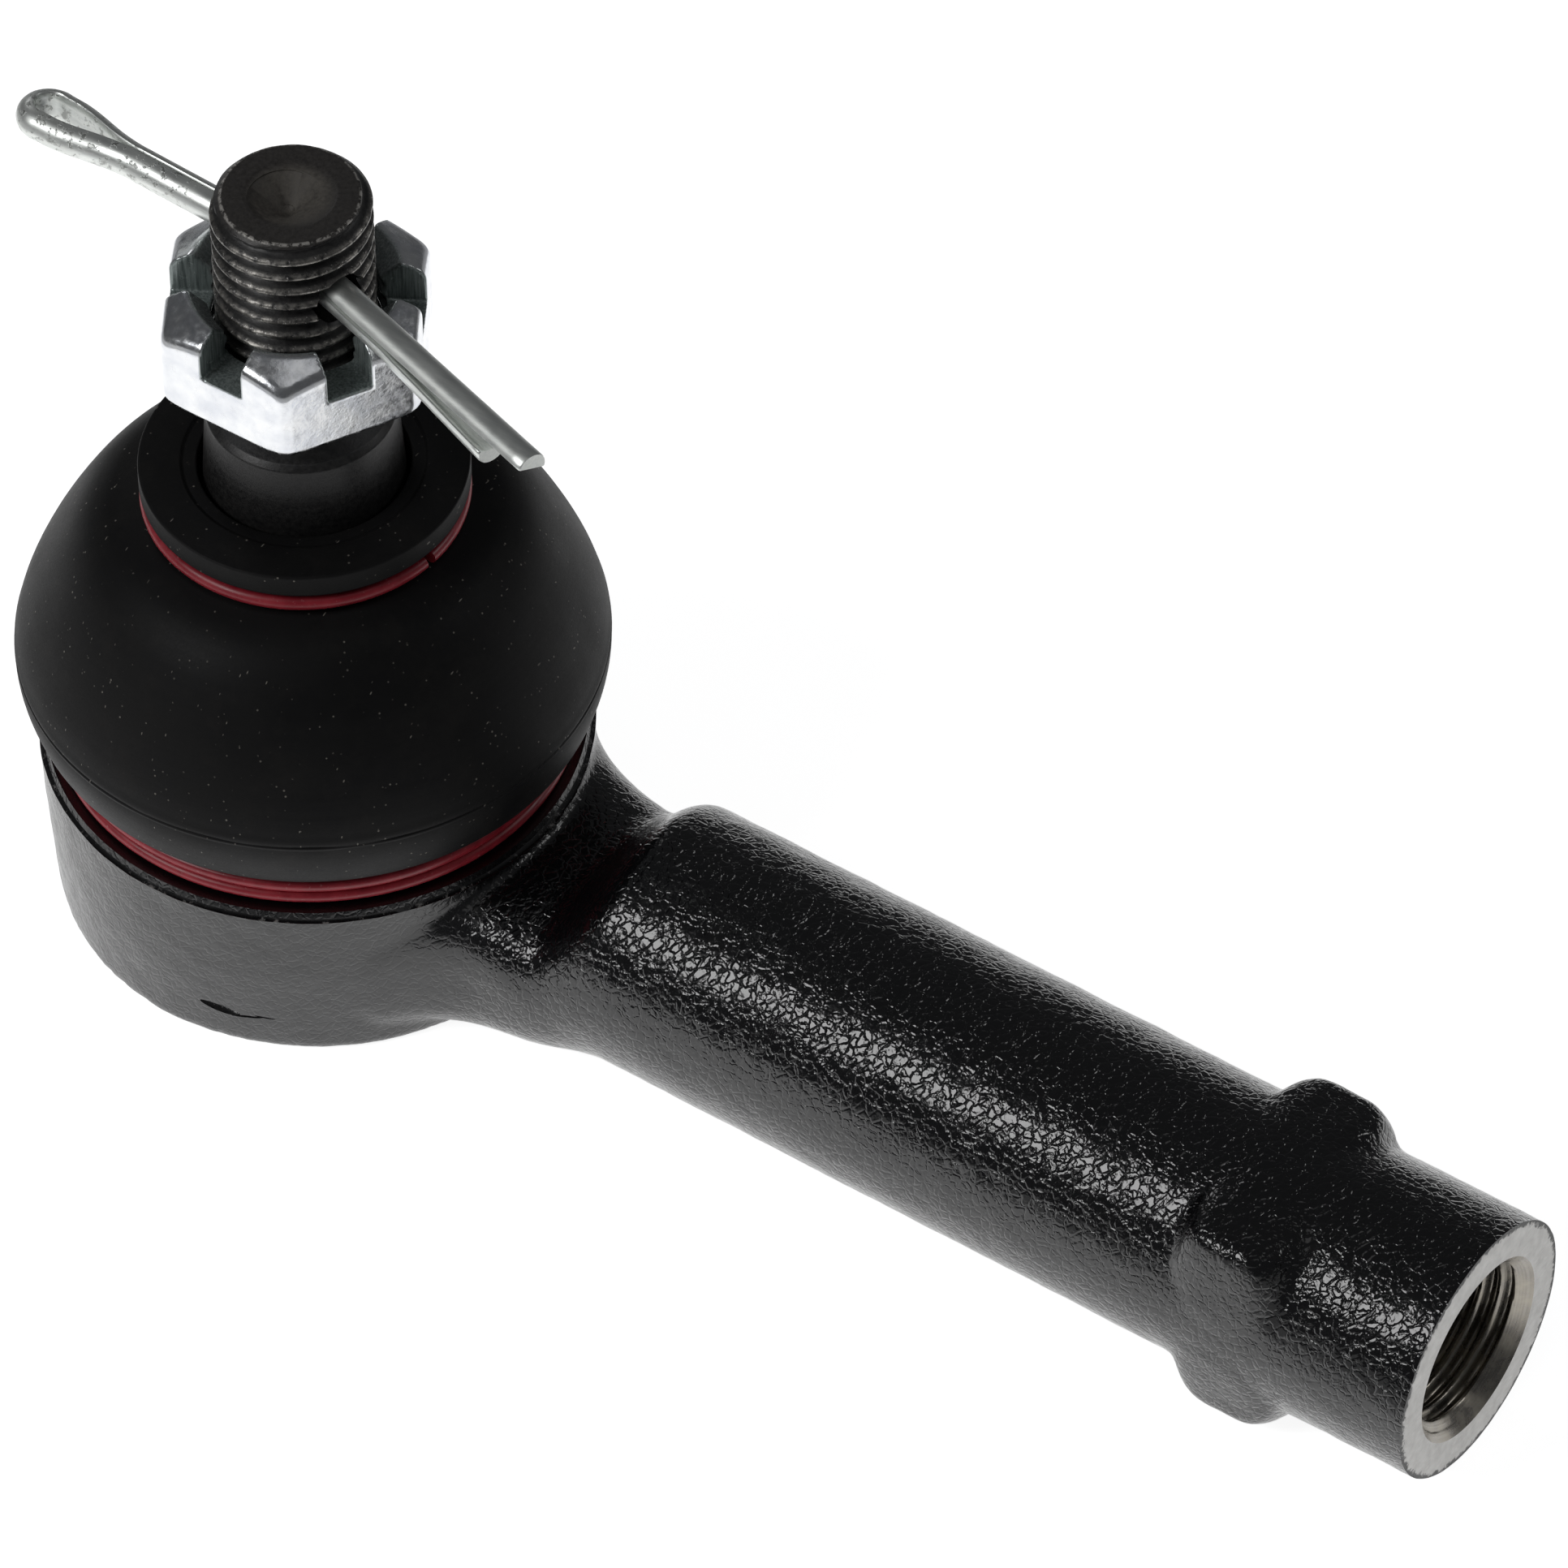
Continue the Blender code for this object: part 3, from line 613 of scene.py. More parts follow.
def stud_phosphate():
    """Dark phosphate, rubbed lighter on the thread's crests and the edges."""
    m = Shading("stud_phosphate")
    radius = m.radius()
    height = m.axis("Z")
    crest = m.spread(radius, 5.62, 5.96)
    on_thread = m.spread(height, 53.0, 54.0)
    rub = m.spread(m.noise(1.7, 4.0, 0.65), 0.38, 0.62)
    worn = m.times(m.times(crest, on_thread), rub)
    mottled = m.noise(2.8, 4.0, 0.65)
    base = m.blend(m.spread(mottled), (0.010, 0.010, 0.011), (0.030, 0.029, 0.028))
    face = m.times(m.spread(height, STUD_TOP_Z - 0.5, STUD_TOP_Z - 0.1), 0.9)
    dimple = m.spread(radius, 3.4, 2.6)
    cap = m.blend(m.spread(mottled), (0.034, 0.031, 0.029), (0.062, 0.057, 0.053))
    pit = m.blend(m.spread(mottled), (0.060, 0.054, 0.048), (0.125, 0.115, 0.100))
    base = m.blend(face, base, cap)
    in_dimple = m.times(dimple, m.spread(height, STUD_TOP_Z - 3.0, STUD_TOP_Z - 2.5))
    base = m.blend(in_dimple, base, pit)
    colour = m.blend(m.times(worn, 0.85), base, (0.36, 0.345, 0.32))
    off_rim = m.math("ABSOLUTE", m.math("SUBTRACT", radius, STUD_END_RADIUS))
    at_top = m.spread(height, STUD_TOP_Z - 0.25, STUD_TOP_Z - 0.15)
    rim = m.times(m.spread(off_rim, 0.16, 0.06), at_top)
    chipped = m.spread(m.noise(1.9, 4.0, 0.7), 0.46, 0.56)
    colour = m.blend(m.times(rim, chipped), colour, (0.40, 0.385, 0.36))
    nick = m.times(m.spread(m.noise(4.5, 2.0), 0.64, 0.70), crest)
    colour = m.blend(m.times(nick, on_thread), colour, (0.62, 0.60, 0.58))
    bands = m.noise(1.0, 3.0, place=m.stretched((0.04, 0.04, 3.2)))
    m.bump(bands, 0.018, 0.55)
    m.bump(m.noise(6.0, 3.0, 0.6), 0.020, 0.7)
    rough = m.math("ADD", m.vary(mottled, 0.32, 0.50), m.times(in_dimple, 0.25))
    metal = m.spread(worn, 0.0, 0.6, 0.25, 0.95)
    return m.finish(colour, rough, metal)


def nut_zinc():
    """Bright zinc plate; the sawn slots are brushed, and they and the tapped bore are painted darker
    as shade in these recesses.
    """
    m = Shading("nut_zinc")
    slot = m.node("ShaderNodeAttribute", attribute_name="slot").outputs["Fac"]
    cloud = m.noise(0.55, 3.0, 0.55)
    frost = m.noise(4.2, 3.0, 0.6)
    plate = m.blend(m.spread(cloud, 0.35, 0.65), (0.70, 0.72, 0.76), (0.86, 0.87, 0.88))
    brush = m.noise(1.0, 4.0, 0.6, place=m.stretched((6.0, 6.0, 0.35)))
    # Painted shade: the slot walls and the tapped bore take this darker colour for the shade in
    # these recesses; its brush streaks are real.
    wall = m.blend(m.spread(brush, 0.35, 0.65), (0.15, 0.18, 0.175), (0.38, 0.43, 0.42))
    colour = m.blend(slot, plate, wall)
    m.bump(frost, 0.012, 0.55)
    m.bump(m.noise(1.3, 2.0), 0.03, 0.35)
    m.bump(m.times(brush, slot), 0.03, 0.5)
    rough = m.vary(m.noise(1.6, 4.0, 0.6), 0.13, 0.30)
    return m.finish(colour, rough, m.spread(slot, 0.0, 1.0, 1.0, 0.45))


def pin_zinc():
    """Satin zinc wire with drawn streaks and a few specks."""
    m = Shading("pin_zinc")
    streaks = m.noise(1.0, 4.0, 0.6, place=m.stretched((0.22, 3.5, 3.5)))
    cloud = m.noise(0.5, 3.0)
    pits = m.spread(m.noise(5.0, 2.0), 0.66, 0.72)
    worn = m.spread(m.axis("X"), -9.0, -11.0)
    scars = m.times(m.spread(m.noise(1.7, 4.0, 0.7), 0.55, 0.62), worn)
    base = m.blend(m.spread(streaks), (0.70, 0.73, 0.71), (0.88, 0.90, 0.87))
    base = m.blend(m.spread(cloud, 0.4, 0.9), base, (0.74, 0.76, 0.73))
    colour = m.blend(m.times(pits, 0.6), base, (0.85, 0.85, 0.82))
    colour = m.blend(m.times(scars, 0.6), colour, (0.22, 0.225, 0.21))
    m.bump(streaks, 0.008, 0.5)
    m.bump(scars, 0.03, 0.7)
    rough = m.vary(cloud, 0.33, 0.45)
    return m.finish(colour, rough, 0.92)


def boot_rubber():
    """Satin black rubber: moulding bands, dust and fibres."""
    m = Shading("boot_rubber")
    bands = m.noise(1.0, 4.0, 0.6, place=m.stretched((0.05, 0.05, 1.6)))
    cloud = m.noise(0.13, 4.0, 0.6)
    fine = m.noise(6.5, 3.0, 0.65)
    dust = m.spread(m.cells(1.5).outputs["Distance"], 0.15, 0.08)
    rare = m.spread(m.noise(0.5, 4.0, 0.65), 0.49, 0.60)
    hair = m.cells(0.5, place=m.stretched((3.4, 0.7, 1.4), (0.4, 0.7, 0.9))).outputs["Distance"]
    fibre = m.spread(hair, 0.085, 0.055)
    few = m.spread(m.noise(0.35, 1.0), 0.48, 0.54)
    soil = m.math("ADD", m.times(dust, rare), m.times(fibre, few))
    film = m.spread(m.noise(0.32, 5.0, 0.7), 0.50, 0.80)
    base = m.blend(m.spread(bands, 0.35, 0.65), (0.0022, 0.0022, 0.0027), (0.0042, 0.0042, 0.0048))
    base = m.blend(m.spread(cloud, 0.35, 0.70), base, (0.0060, 0.0058, 0.0058))
    base = m.blend(film, base, (0.0095, 0.0088, 0.0082))
    colour = m.blend(m.times(soil, 0.75), base, (0.23, 0.215, 0.19))
    m.bump(bands, 0.03, 0.35)
    m.bump(fine, 0.010, 0.55)
    matt = m.vary(cloud, 0.50, 0.60)
    rough = m.math("ADD", matt, m.vary(fine, -0.04, 0.05))
    return m.finish(colour, rough, Specular_IOR_Level=0.17)


def clip_red():
    """Deep red coated spring wire, dusty, with thin drawn lines."""
    m = Shading("clip_red")
    cloud = m.noise(0.7, 4.0, 0.6)
    lines = m.noise(1.0, 3.0, place=m.stretched((0.3, 0.3, 6.0)))
    specks = m.spread(m.noise(4.0, 2.0), 0.66, 0.72)
    base = m.blend(m.spread(cloud), (0.235, 0.010, 0.020), (0.36, 0.022, 0.036))
    colour = m.blend(m.times(specks, 0.35), base, (0.50, 0.22, 0.22))
    m.bump(lines, 0.012, 0.5)
    rough = m.vary(cloud, 0.30, 0.42)
    return m.finish(colour, rough)


def ring_steel():
    """Dark coated steel, for the ring in the boot's collar."""
    m = Shading("ring_coating")
    cloud = m.noise(1.4, 4.0, 0.6)
    m.bump(m.noise(1.0, 3.0, place=m.stretched((0.2, 0.2, 5.0))), 0.015, 0.5)
    colour = m.blend(m.spread(cloud), (0.010, 0.010, 0.011), (0.028, 0.027, 0.027))
    rough = m.vary(cloud, 0.28, 0.42)
    return m.finish(colour, rough, 0.3)


def turned_metal(name, dark, light, low, high, source):
    """Bare or plated turned steel with rings about Z."""
    m = Shading(name, source)
    rings = m.bands(m.radius(), 4.5)
    cloud = m.noise(0.6, 4.0, 0.6)
    m.bump(rings, 0.012, 0.5)
    m.bump(m.noise(3.0, 3.0), 0.012, 0.5)
    colour = m.blend(m.spread(cloud), dark, light)
    rough = m.vary(cloud, low, high)
    return m.finish(colour, rough, 1.0)


def bearing_plastic():
    """Natural acetal under a film of grease."""
    m = Shading("bearing_plastic", "object")
    cloud = m.noise(0.5, 3.0)
    m.bump(m.noise(3.0, 3.0), 0.02, 0.5)
    colour = m.blend(m.spread(cloud), (0.66, 0.62, 0.52), (0.78, 0.75, 0.66))
    rough = m.vary(cloud, 0.34, 0.48)
    return m.finish(colour, rough)


# ---- housing

def neck_half_width(x, fillet):
    """Plan outline of the neck: the head's circle, a concave fillet, the barrel."""
    reach = RIM_RADIUS + fillet
    centre_y = BARREL_RADIUS + fillet
    centre_x = math.sqrt(reach ** 2 - centre_y ** 2)
    touch_x = centre_x * RIM_RADIUS / reach
    if x < touch_x:
        width = math.sqrt(max(RIM_RADIUS ** 2 - x * x, 0.0))
        return width - 1.2 * float(smoothstep(touch_x - x, 0, 4))
    if x < centre_x:
        return centre_y - math.sqrt(fillet ** 2 - (x - centre_x) ** 2)
    return BARREL_RADIUS


def shank_section(x, sides):
    """Outline across the shank: flat-topped at the head, round on the barrel."""
    rise = float(smoothstep(x, STEP_START_X, BARREL_START_X))
    top = NECK_TOP_Z + (SHANK_Z + BARREL_RADIUS - NECK_TOP_Z) * rise
    bottom = NECK_BOTTOM_Z + (SHANK_Z - BARREL_RADIUS - NECK_BOTTOM_Z) * rise
    power = 2.0 / (4.0 - 2.0 * float(smoothstep(x, 16.0, BARREL_START_X)))
    section = []
    for i in range(sides):
        c, s = polar(1.0, 360.0 * i / sides)
        fillet = NECK_FILLET_BACK if c > 0 else NECK_FILLET_FRONT
        y = neck_half_width(x, fillet) * powered(c, power)
        z = (top + bottom) / 2 + (top - bottom) / 2 * powered(s, power)
        section.append((x, y, z))
    return section


def shank_form():
    stations = list(np.linspace(LOFT_START_X, BARREL_START_X, 43))
    stations += list(np.linspace(BARREL_START_X + 2.0, SHANK_END_X + 1.5, 12))
    return ringed("shank_form", [shank_section(x, 96) for x in stations])


def head_form():
    """The forged head, standing proud where its rim is machined later."""
    profile = rounded([
        (0.0, 0.0),
        (HEAD_BOTTOM_RADIUS + 0.1, 0.0),
        (HEAD_BAND_RADIUS, HEAD_BAND_Z),
        (RIM_RADIUS, RIM_Z + 1.4),
        (LIP_RADIUS, RIM_Z + 1.4),
        (LIP_RADIUS, HEAD_TOP_Z),
        (0.0, HEAD_TOP_Z),
    ], 0.35, 4, closed=False)
    return turned("head_form", profile, FINE_STEPS, loop=False)


def lug_form(angle, centre_x):
    """One corner of the square for a wrench, standing out of the barrel."""
    turn = turned_about("X", angle)
    layers = smooth_curve([(a, b) for a, b, _ in LUG_LAYERS], 4)
    widths = smooth_curve([(a, c) for a, _, c in LUG_LAYERS], 4)
    rings = []
    for (height, length), (_, width) in zip(layers, widths):
        ring = []
        for i in range(48):
            c, s = polar(1.0, 7.5 * i)
            along = length / 2 * powered(c, 0.55)
            across = width / 2 * powered(s, 0.55)
            point = turn @ Vector((along, height, across))
            ring.append(point + Vector((centre_x, 0.0, SHANK_Z)))
        rings.append(ring)
    return ringed(f"lug_form_{angle:.0f}", rings)


def roughen_forging(obj):
    """Uneven hammered skin: broad waves with smaller ones on them."""
    points = read_points(obj)
    normals = read_vectors(obj.data.vertex_normals, "vector")
    lift = np.zeros(len(points))
    for i, point in enumerate(points):
        p = Vector(point)
        lift[i] = sum(height * noise.noise(p * rate) for height, rate in SKIN_WAVES)
    write_points(obj, points + normals * lift[:, None])


def scar_cutter(azimuth, z, length, height, depth, tilt):
    """A lens-shaped gouge across the side of the head."""
    bm = bmesh.new()
    bmesh.ops.create_uvsphere(bm, u_segments=32, v_segments=16, radius=1.0)
    size = Matrix.Diagonal((depth, length / 2, height / 2, 1.0))
    draft = (HEAD_BAND_RADIUS - HEAD_BOTTOM_RADIUS) / HEAD_BAND_Z
    x, y = polar(HEAD_BOTTOM_RADIUS + draft * z, azimuth)
    turn = turned_about("Z", azimuth) @ turned_about("X", tilt)
    place = Matrix.Translation((x, y, z)) @ turn @ size
    bmesh.ops.transform(bm, matrix=Matrix.Scale(MM, 4) @ place, verts=bm.verts)
    return finished(f"scar_{azimuth:.0f}", bm)


def rim_cutter():
    """Faces the rim and turns the boot's groove and the lip above it."""
    profile = [
        (RIM_RADIUS + 1.6, RIM_Z - 0.62),
        (RIM_RADIUS - 0.12, RIM_Z - 0.62),
        (RIM_RADIUS - 0.42, RIM_Z - 0.45),
        (RIM_RADIUS - 0.62, RIM_Z),
        (GROOVE_RADIUS, RIM_Z),
        (GROOVE_RADIUS, GROOVE_TOP_Z),
        (LIP_RADIUS, GROOVE_TOP_Z),
        (LIP_RADIUS, LIP_TOP_Z),
        (LIP_RADIUS - 1.0, HEAD_TOP_Z),
        (LIP_RADIUS - 1.0, HEAD_TOP_Z + 2.0),
        (RIM_RADIUS + 1.6, HEAD_TOP_Z + 2.0),
    ]
    return turned("rim_cutter", profile, FINE_STEPS)


def socket_cutter():
    """The cavity: mouth, throat, bearing bore, cover ledge and crimped lip."""
    profile = [
        (0.0, HEAD_TOP_Z + 1.0),
        (MOUTH_RADIUS + 0.4, HEAD_TOP_Z + 1.0),
        (MOUTH_RADIUS, HEAD_TOP_Z),
        (THROAT_RADIUS, THROAT_Z),
        (SOCKET_RADIUS, SOCKET_TOP_Z),
        (SOCKET_RADIUS, SEAT_Z),
        (COUNTERBORE_RADIUS, SEAT_Z),
        (COUNTERBORE_RADIUS, CRIMP_Z),
        (CRIMP_RADIUS, CRIMP_Z),
        (CRIMP_RADIUS, -1.0),
        (0.0, -1.0),
    ]
    return turned("socket_cutter", profile, 96, loop=False)


def bore_cutter():
    """The tapped bore: chamfered mouth, a real helical thread, a drilled end."""
    rows = round(BORE_THREAD_LENGTH / THREAD_PITCH * ROWS_PER_PITCH)
    inner = [-BORE_DEPTH - 3.6, -BORE_DEPTH, -BORE_THREAD_LENGTH - 2.0]
    depths = list(np.linspace(-BORE_THREAD_LENGTH, 0.0, rows)) + [1.0]
    rings = []
    for depth in inner + depths:
        ring = []
        for i in range(THREAD_STEPS):
            turns = i / THREAD_STEPS
            cut_in = 1 - thread_depth(depth / THREAD_PITCH - turns)
            fade = smoothstep(depth, -BORE_THREAD_LENGTH, -BORE_THREAD_LENGTH + 3.0)
            radius = BORE_RADIUS + (BORE_ROOT_RADIUS - BORE_RADIUS) * float(cut_in * fade)
            if depth < -BORE_DEPTH:
                radius = 1e-4
            chamfer = BORE_MOUTH_RADIUS + depth
            radius = max(radius, min(chamfer, BORE_MOUTH_RADIUS + 1.0))
            y, z = polar(radius, 360.0 * turns)
            ring.append((SHANK_END_X + depth, y, SHANK_Z + z))
        rings.append(ring)
    return ringed("bore_cutter", rings)


def end_cutter():
    """A block that faces the shank's end."""
    size = 20.0
    corners = ((-size, -size), (size, -size), (size, size), (-size, size))
    rings = [[(x, y, SHANK_Z + z) for y, z in corners] for x in (SHANK_END_X, SHANK_END_X + 5.0)]
    return ringed("end_cutter", rings)


def sort_housing_faces(obj):
    """Give the machined faces their own finishes: rim, shank end, bore."""
    mesh = obj.data
    centre = read_vectors(mesh.polygons, "center") / MM
    normal = read_vectors(mesh.polygons, "normal")
    from_stud = np.hypot(centre[:, 0], centre[:, 1])
    from_bore = np.hypot(centre[:, 1], centre[:, 2] - SHANK_Z)
    kind = np.zeros(len(centre), int)
    turned_top = (centre[:, 2] > RIM_Z - 0.75) & (from_stud < RIM_RADIUS + 0.3)
    kind[turned_top & ((normal[:, 2] > 0.75) | (from_stud < LIP_RADIUS + 0.1))] = 1
    kind[(from_stud < COUNTERBORE_RADIUS + 0.05) & (centre[:, 2] < HEAD_TOP_Z)] = 1
    kind[(centre[:, 0] > SHANK_END_X - 0.02) & (normal[:, 0] > 0.9)] = 2
    inside = SHANK_END_X - BORE_DEPTH - 4.0
    kind[(from_bore < BORE_MOUTH_RADIUS + 0.02) & (centre[:, 0] > inside)
         & (centre[:, 0] < SHANK_END_X - 0.02)] = 3
    mesh.polygons.foreach_set("material_index", kind)
    mesh.update()


def build_housing():
    housing = head_form()
    housing.name = "forged_housing"
    forms = [shank_form()] + [lug_form(angle, x) for angle, x in LUG_PLACES]
    cut(housing, *forms, operation="UNION")
    remesh(housing, FORGING_VOXEL)
    relax(housing, FORGING_SOFTENING)
    roughen_forging(housing)
    cut(housing, *[scar_cutter(*scar) for scar in SCARS])
    cut(housing, rim_cutter(), socket_cutter(), end_cutter(), bore_cutter())
    shade(housing, 32)
    paint(housing, forged_paint(), machined_black(), bare_steel(), bore_steel())
    sort_housing_faces(housing)
    return housing


def build_end_cover():
    flange_z = CRIMP_Z + GAP
    flange_top = SEAT_Z - GAP
    profile = rounded([
        (0.0, 0.0),
        (COVER_FLOOR_RADIUS, 0.0),
        (COVER_DISH_RADIUS, 0.6),
        (COVER_DISH_RADIUS, flange_z),
        (COVER_FLANGE_RADIUS, flange_z),
        (COVER_FLANGE_RADIUS, flange_top),
        (COVER_DISH_RADIUS - 1.2, flange_top),
        (COVER_FLOOR_RADIUS - 0.9, COVER_THICKNESS),
        (0.0, COVER_THICKNESS),
    ], 0.35, 4, closed=False)
    cover = turned("pressed_cover", profile, SMALL_STEPS, loop=False)
    return paint(cover, turned_metal(
        "cover_zinc", (0.42, 0.43, 0.43), (0.62, 0.63, 0.62), 0.26, 0.42, "rest"))


# ---- ball stud

def stud_rows():
    """Profile of the stud from the flat under the ball up to the dimple."""
    neck_rise = math.sqrt(BALL_RADIUS ** 2 - NECK_RADIUS ** 2)
    start = -math.degrees(math.asin(BALL_FLAT_DROP / BALL_RADIUS))
    end = math.degrees(math.asin(neck_rise / BALL_RADIUS))
    ball = arc(0.0, BALL_CENTRE_Z, BALL_RADIUS, start, end, 36)
    body = rounded([
        ball[-1],
        (NECK_RADIUS, 27.0),
        (WAIST_RADIUS, 30.5),
        (WAIST_RADIUS, 36.0),
        (TAPER_BIG_RADIUS, 37.0),
        (TAPER_BIG_RADIUS, TAPER_BASE_Z),
        (TAPER_SMALL_RADIUS, TAPER_TOP_Z),
        (TAPER_SMALL_RADIUS - 0.45, TAPER_TOP_Z + 0.45),
        (RELIEF_RADIUS, TAPER_TOP_Z + 1.0),
        (RELIEF_RADIUS, STUD_THREAD_START_Z - 0.7),
    ], 0.3, 3, closed=False)
    rows = round((STUD_TOP_Z - STUD_THREAD_START_Z) / THREAD_PITCH * ROWS_PER_PITCH)
    heights = np.linspace(STUD_THREAD_START_Z, STUD_TOP_Z - 0.05, rows)
    thread = [(STUD_THREAD_RADIUS, z) for z in heights]
    top = rounded([
        (STUD_END_RADIUS + 0.02, STUD_TOP_Z - 0.04),
        (STUD_END_RADIUS - 0.1, STUD_TOP_Z),
        (DIMPLE_RADIUS + 0.25, STUD_TOP_Z),
        (0.9, STUD_TOP_Z - DIMPLE_DEPTH + 0.45),
        (0.0, STUD_TOP_Z - DIMPLE_DEPTH),
    ], 0.7, 7, closed=False)
    return [(0.0, ball[0][1])] + ball + body[1:] + thread + top


def stud_radius(radius, z, azimuth):
    """The thread cut into the stud's cylinder, and its chamfered start."""
    if not STUD_THREAD_START_Z <= z < STUD_TOP_Z - 0.045:
        return radius
    turns = (z - STUD_CREST_Z) / THREAD_PITCH - (azimuth - STUD_CREST_AZIMUTH) / 360.0
    depth = STUD_THREAD_DEPTH * float(thread_depth(turns))
    chamfer = STUD_END_RADIUS + 0.94 * (STUD_TOP_Z - z)
    return min(radius - depth, chamfer)


def pin_hole_cutter():
    flare = HOLE_MOUTH_RADIUS - HOLE_RADIUS
    half = [
        (HOLE_RADIUS, 0.0),
        (HOLE_RADIUS, STUD_THREAD_RADIUS - flare),
        (HOLE_MOUTH_RADIUS + 1.0, STUD_THREAD_RADIUS + 1.0),
        (HOLE_MOUTH_RADIUS + 1.0, 8.0),
    ]
    profile = [(0.0, -8.0)] + [(r, -z) for r, z in reversed(half)] + half[1:] + [(0.0, 8.0)]
    cutter = turned("pin_hole_cutter", profile, 64, loop=False)
    turn = turned_about("Z", HOLE_AZIMUTH) @ turned_about("Y", 90.0)
    cutter.data.transform(Matrix.Translation((0.0, 0.0, HOLE_Z * MM)) @ turn)
    return cutter


def build_stud():
    rings = []
    for radius, z in stud_rows():
        ring = []
        for i in range(THREAD_STEPS):
            azimuth = 360.0 * i / THREAD_STEPS
            r = max(stud_radius(radius, z, azimuth), 1e-4)
            x, y = polar(r, azimuth)
            ring.append((x, y, z))
        rings.append(ring)
    stud = ringed("threaded_stud", rings)
    cut(stud, pin_hole_cutter())
    nick_edges(stud)
    shade(stud, 38)
    return paint(stud, stud_phosphate())


def nick_edges(stud):
    """Small dents on the thread's crests and the chamfer at the top."""
    points = read_points(stud)
    out = np.hypot(points[:, 0], points[:, 1])
    edge = (out > 5.1) & (points[:, 2] > STUD_THREAD_START_Z) & (points[:, 2] < STUD_TOP_Z + 0.1)
    for i in np.nonzero(edge)[0]:
        p = Vector(points[i])
        dent = max(noise.noise(p * 0.9) - 0.1, 0.0) * 0.16 + 0.02 * noise.noise(p * 2.3)
        points[i, :2] *= 1 - dent * 0.5 / out[i]
    write_points(stud, points)


# ---- castle nut

def soft_max(a, b, softness):
    """The larger value, with the crease between the two rounded."""
    h = np.clip(0.5 + 0.5 * (a - b) / softness, 0.0, 1.0)
    return b + (a - b) * h + softness * h * (1 - h)


def slot_field(points):
    """Below zero inside the three cross slots."""
    nearest = np.full(len(points), 1e3)
    for i in range(3):
        c, s = polar(1.0, NUT_FACE_AZIMUTH + 60.0 * i)
        across = np.abs(points[:, 1] * c - points[:, 0] * s) - NUT_SLOT_WIDTH / 2
        nearest = np.minimum(nearest, soft_max(across, NUT_SLOT_Z - points[:, 2], 0.12))
    return nearest


def nut_bore_field(points):
    """Distance outward from the tapped bore and its countersink."""
    radius = np.hypot(points[:, 0], points[:, 1])
    turns = points[:, 2] / THREAD_PITCH - np.arctan2(points[:, 1], points[:, 0]) / (2 * math.pi)
    thread = radius - NUT_BORE_RADIUS - 0.35 * (1 - thread_depth(turns))
    lean = math.radians(45)
    sink = (radius - 7.8) * math.cos(lean) - (points[:, 2] - NUT_RIDGE_Z + 0.15) * math.sin(lean)
    return np.minimum(thread, sink)


def nut_field(points):
    """Signed distance to the nut's surface, below zero in the metal."""
    x, y, z = points.T
    radius = np.hypot(x, y)
    field = np.full(len(points), -1e3)
    for i in range(6):
        c, s = polar(1.0, NUT_FACE_AZIMUTH + 60.0 * i)
        field = soft_max(field, x * c + y * s - NUT_FLATS / 2, NUT_SOFTNESS)
    lean = math.radians(NUT_CONE_DEG)
    cone = (radius - NUT_RIDGE_RADIUS) * math.sin(lean) + (z - NUT_RIDGE_Z) * math.cos(lean)
    corner = NUT_FLATS / math.sqrt(3) + NUT_SOFTNESS
    shoulder = radius - corner + 0.22
    foot = (radius - corner + 0.75) * math.sin(lean) + (NUT_BOTTOM_Z - z) * math.cos(lean)
    field = soft_max(field, cone, NUT_SOFTNESS)
    field = soft_max(field, z - NUT_RIDGE_Z + 0.08, 0.15)
    field = soft_max(field, shoulder, NUT_SOFTNESS)
    field = soft_max(field, foot, NUT_SOFTNESS)
    field = soft_max(field, NUT_BOTTOM_Z - z, 0.1)
    field = soft_max(field, -nut_bore_field(points), 0.1)
    return soft_max(field, -slot_field(points), 0.13)


def snap(obj, field, rounds):
    """Move each point onto the field's zero surface."""
    points = read_points(obj)
    step = 0.01
    for _ in range(rounds):
        value = field(points)
        slope = np.empty_like(points)
        for axis in range(3):
            shifted = points.copy()
            shifted[:, axis] += step
            slope[:, axis] = (field(shifted) - value) / step
        length = np.maximum((slope ** 2).sum(axis=1), 0.25)
        points -= slope * (np.clip(value, -0.2, 0.2) / length)[:, None]
    write_points(obj, points)


def build_nut():
    """The CAD nut's mesh, refined and drawn onto the smooth field of the real shape."""
    nut = linked("plated_nut", bpy.data.objects["castle_nut"].data.copy())
    remesh(nut, NUT_VOXEL)
    for _ in range(3):
        snap(nut, nut_field, 3)
        relax(nut, 2)
    snap(nut, nut_field, 4)
    shade(nut, 60)
    paint(nut, nut_zinc())
    points = read_points(nut)
    sawn = 1 - smoothstep(np.abs(slot_field(points)), 0.04, 0.12)
    tapped = 1 - smoothstep(np.abs(nut_bore_field(points)), 0.05, 0.2)
    # The slot mask marks the sawn slots and the tapped bore, where the zinc is painted darker as
    # painted shade.
    slot = nut.data.attributes.new("slot", "FLOAT", "POINT")
    slot.data.foreach_set("value", np.clip(sawn + 0.8 * tapped, 0, 1).astype(np.float32))
    return nut


# ---- cotter pin

def pin_axis(s):
    """Point on the pin's bent centreline, s millimetres from the stud's axis."""
    front = Vector((*polar(1.0, PIN_FRONT_AZIMUTH), 0.0))
    rear = Vector((*polar(1.0, PIN_REAR_AZIMUTH), 0.0))
    z = PIN_REAR_Z + (PIN_FRONT_Z - PIN_REAR_Z) * float(smoothstep(s, PIN_BEND_AT, 6.0))
    if s > PIN_BEND_AT:
        point = front * s
    else:
        point = front * PIN_BEND_AT + rear * (PIN_BEND_AT - s)
    return Vector((point.x, point.y, z))


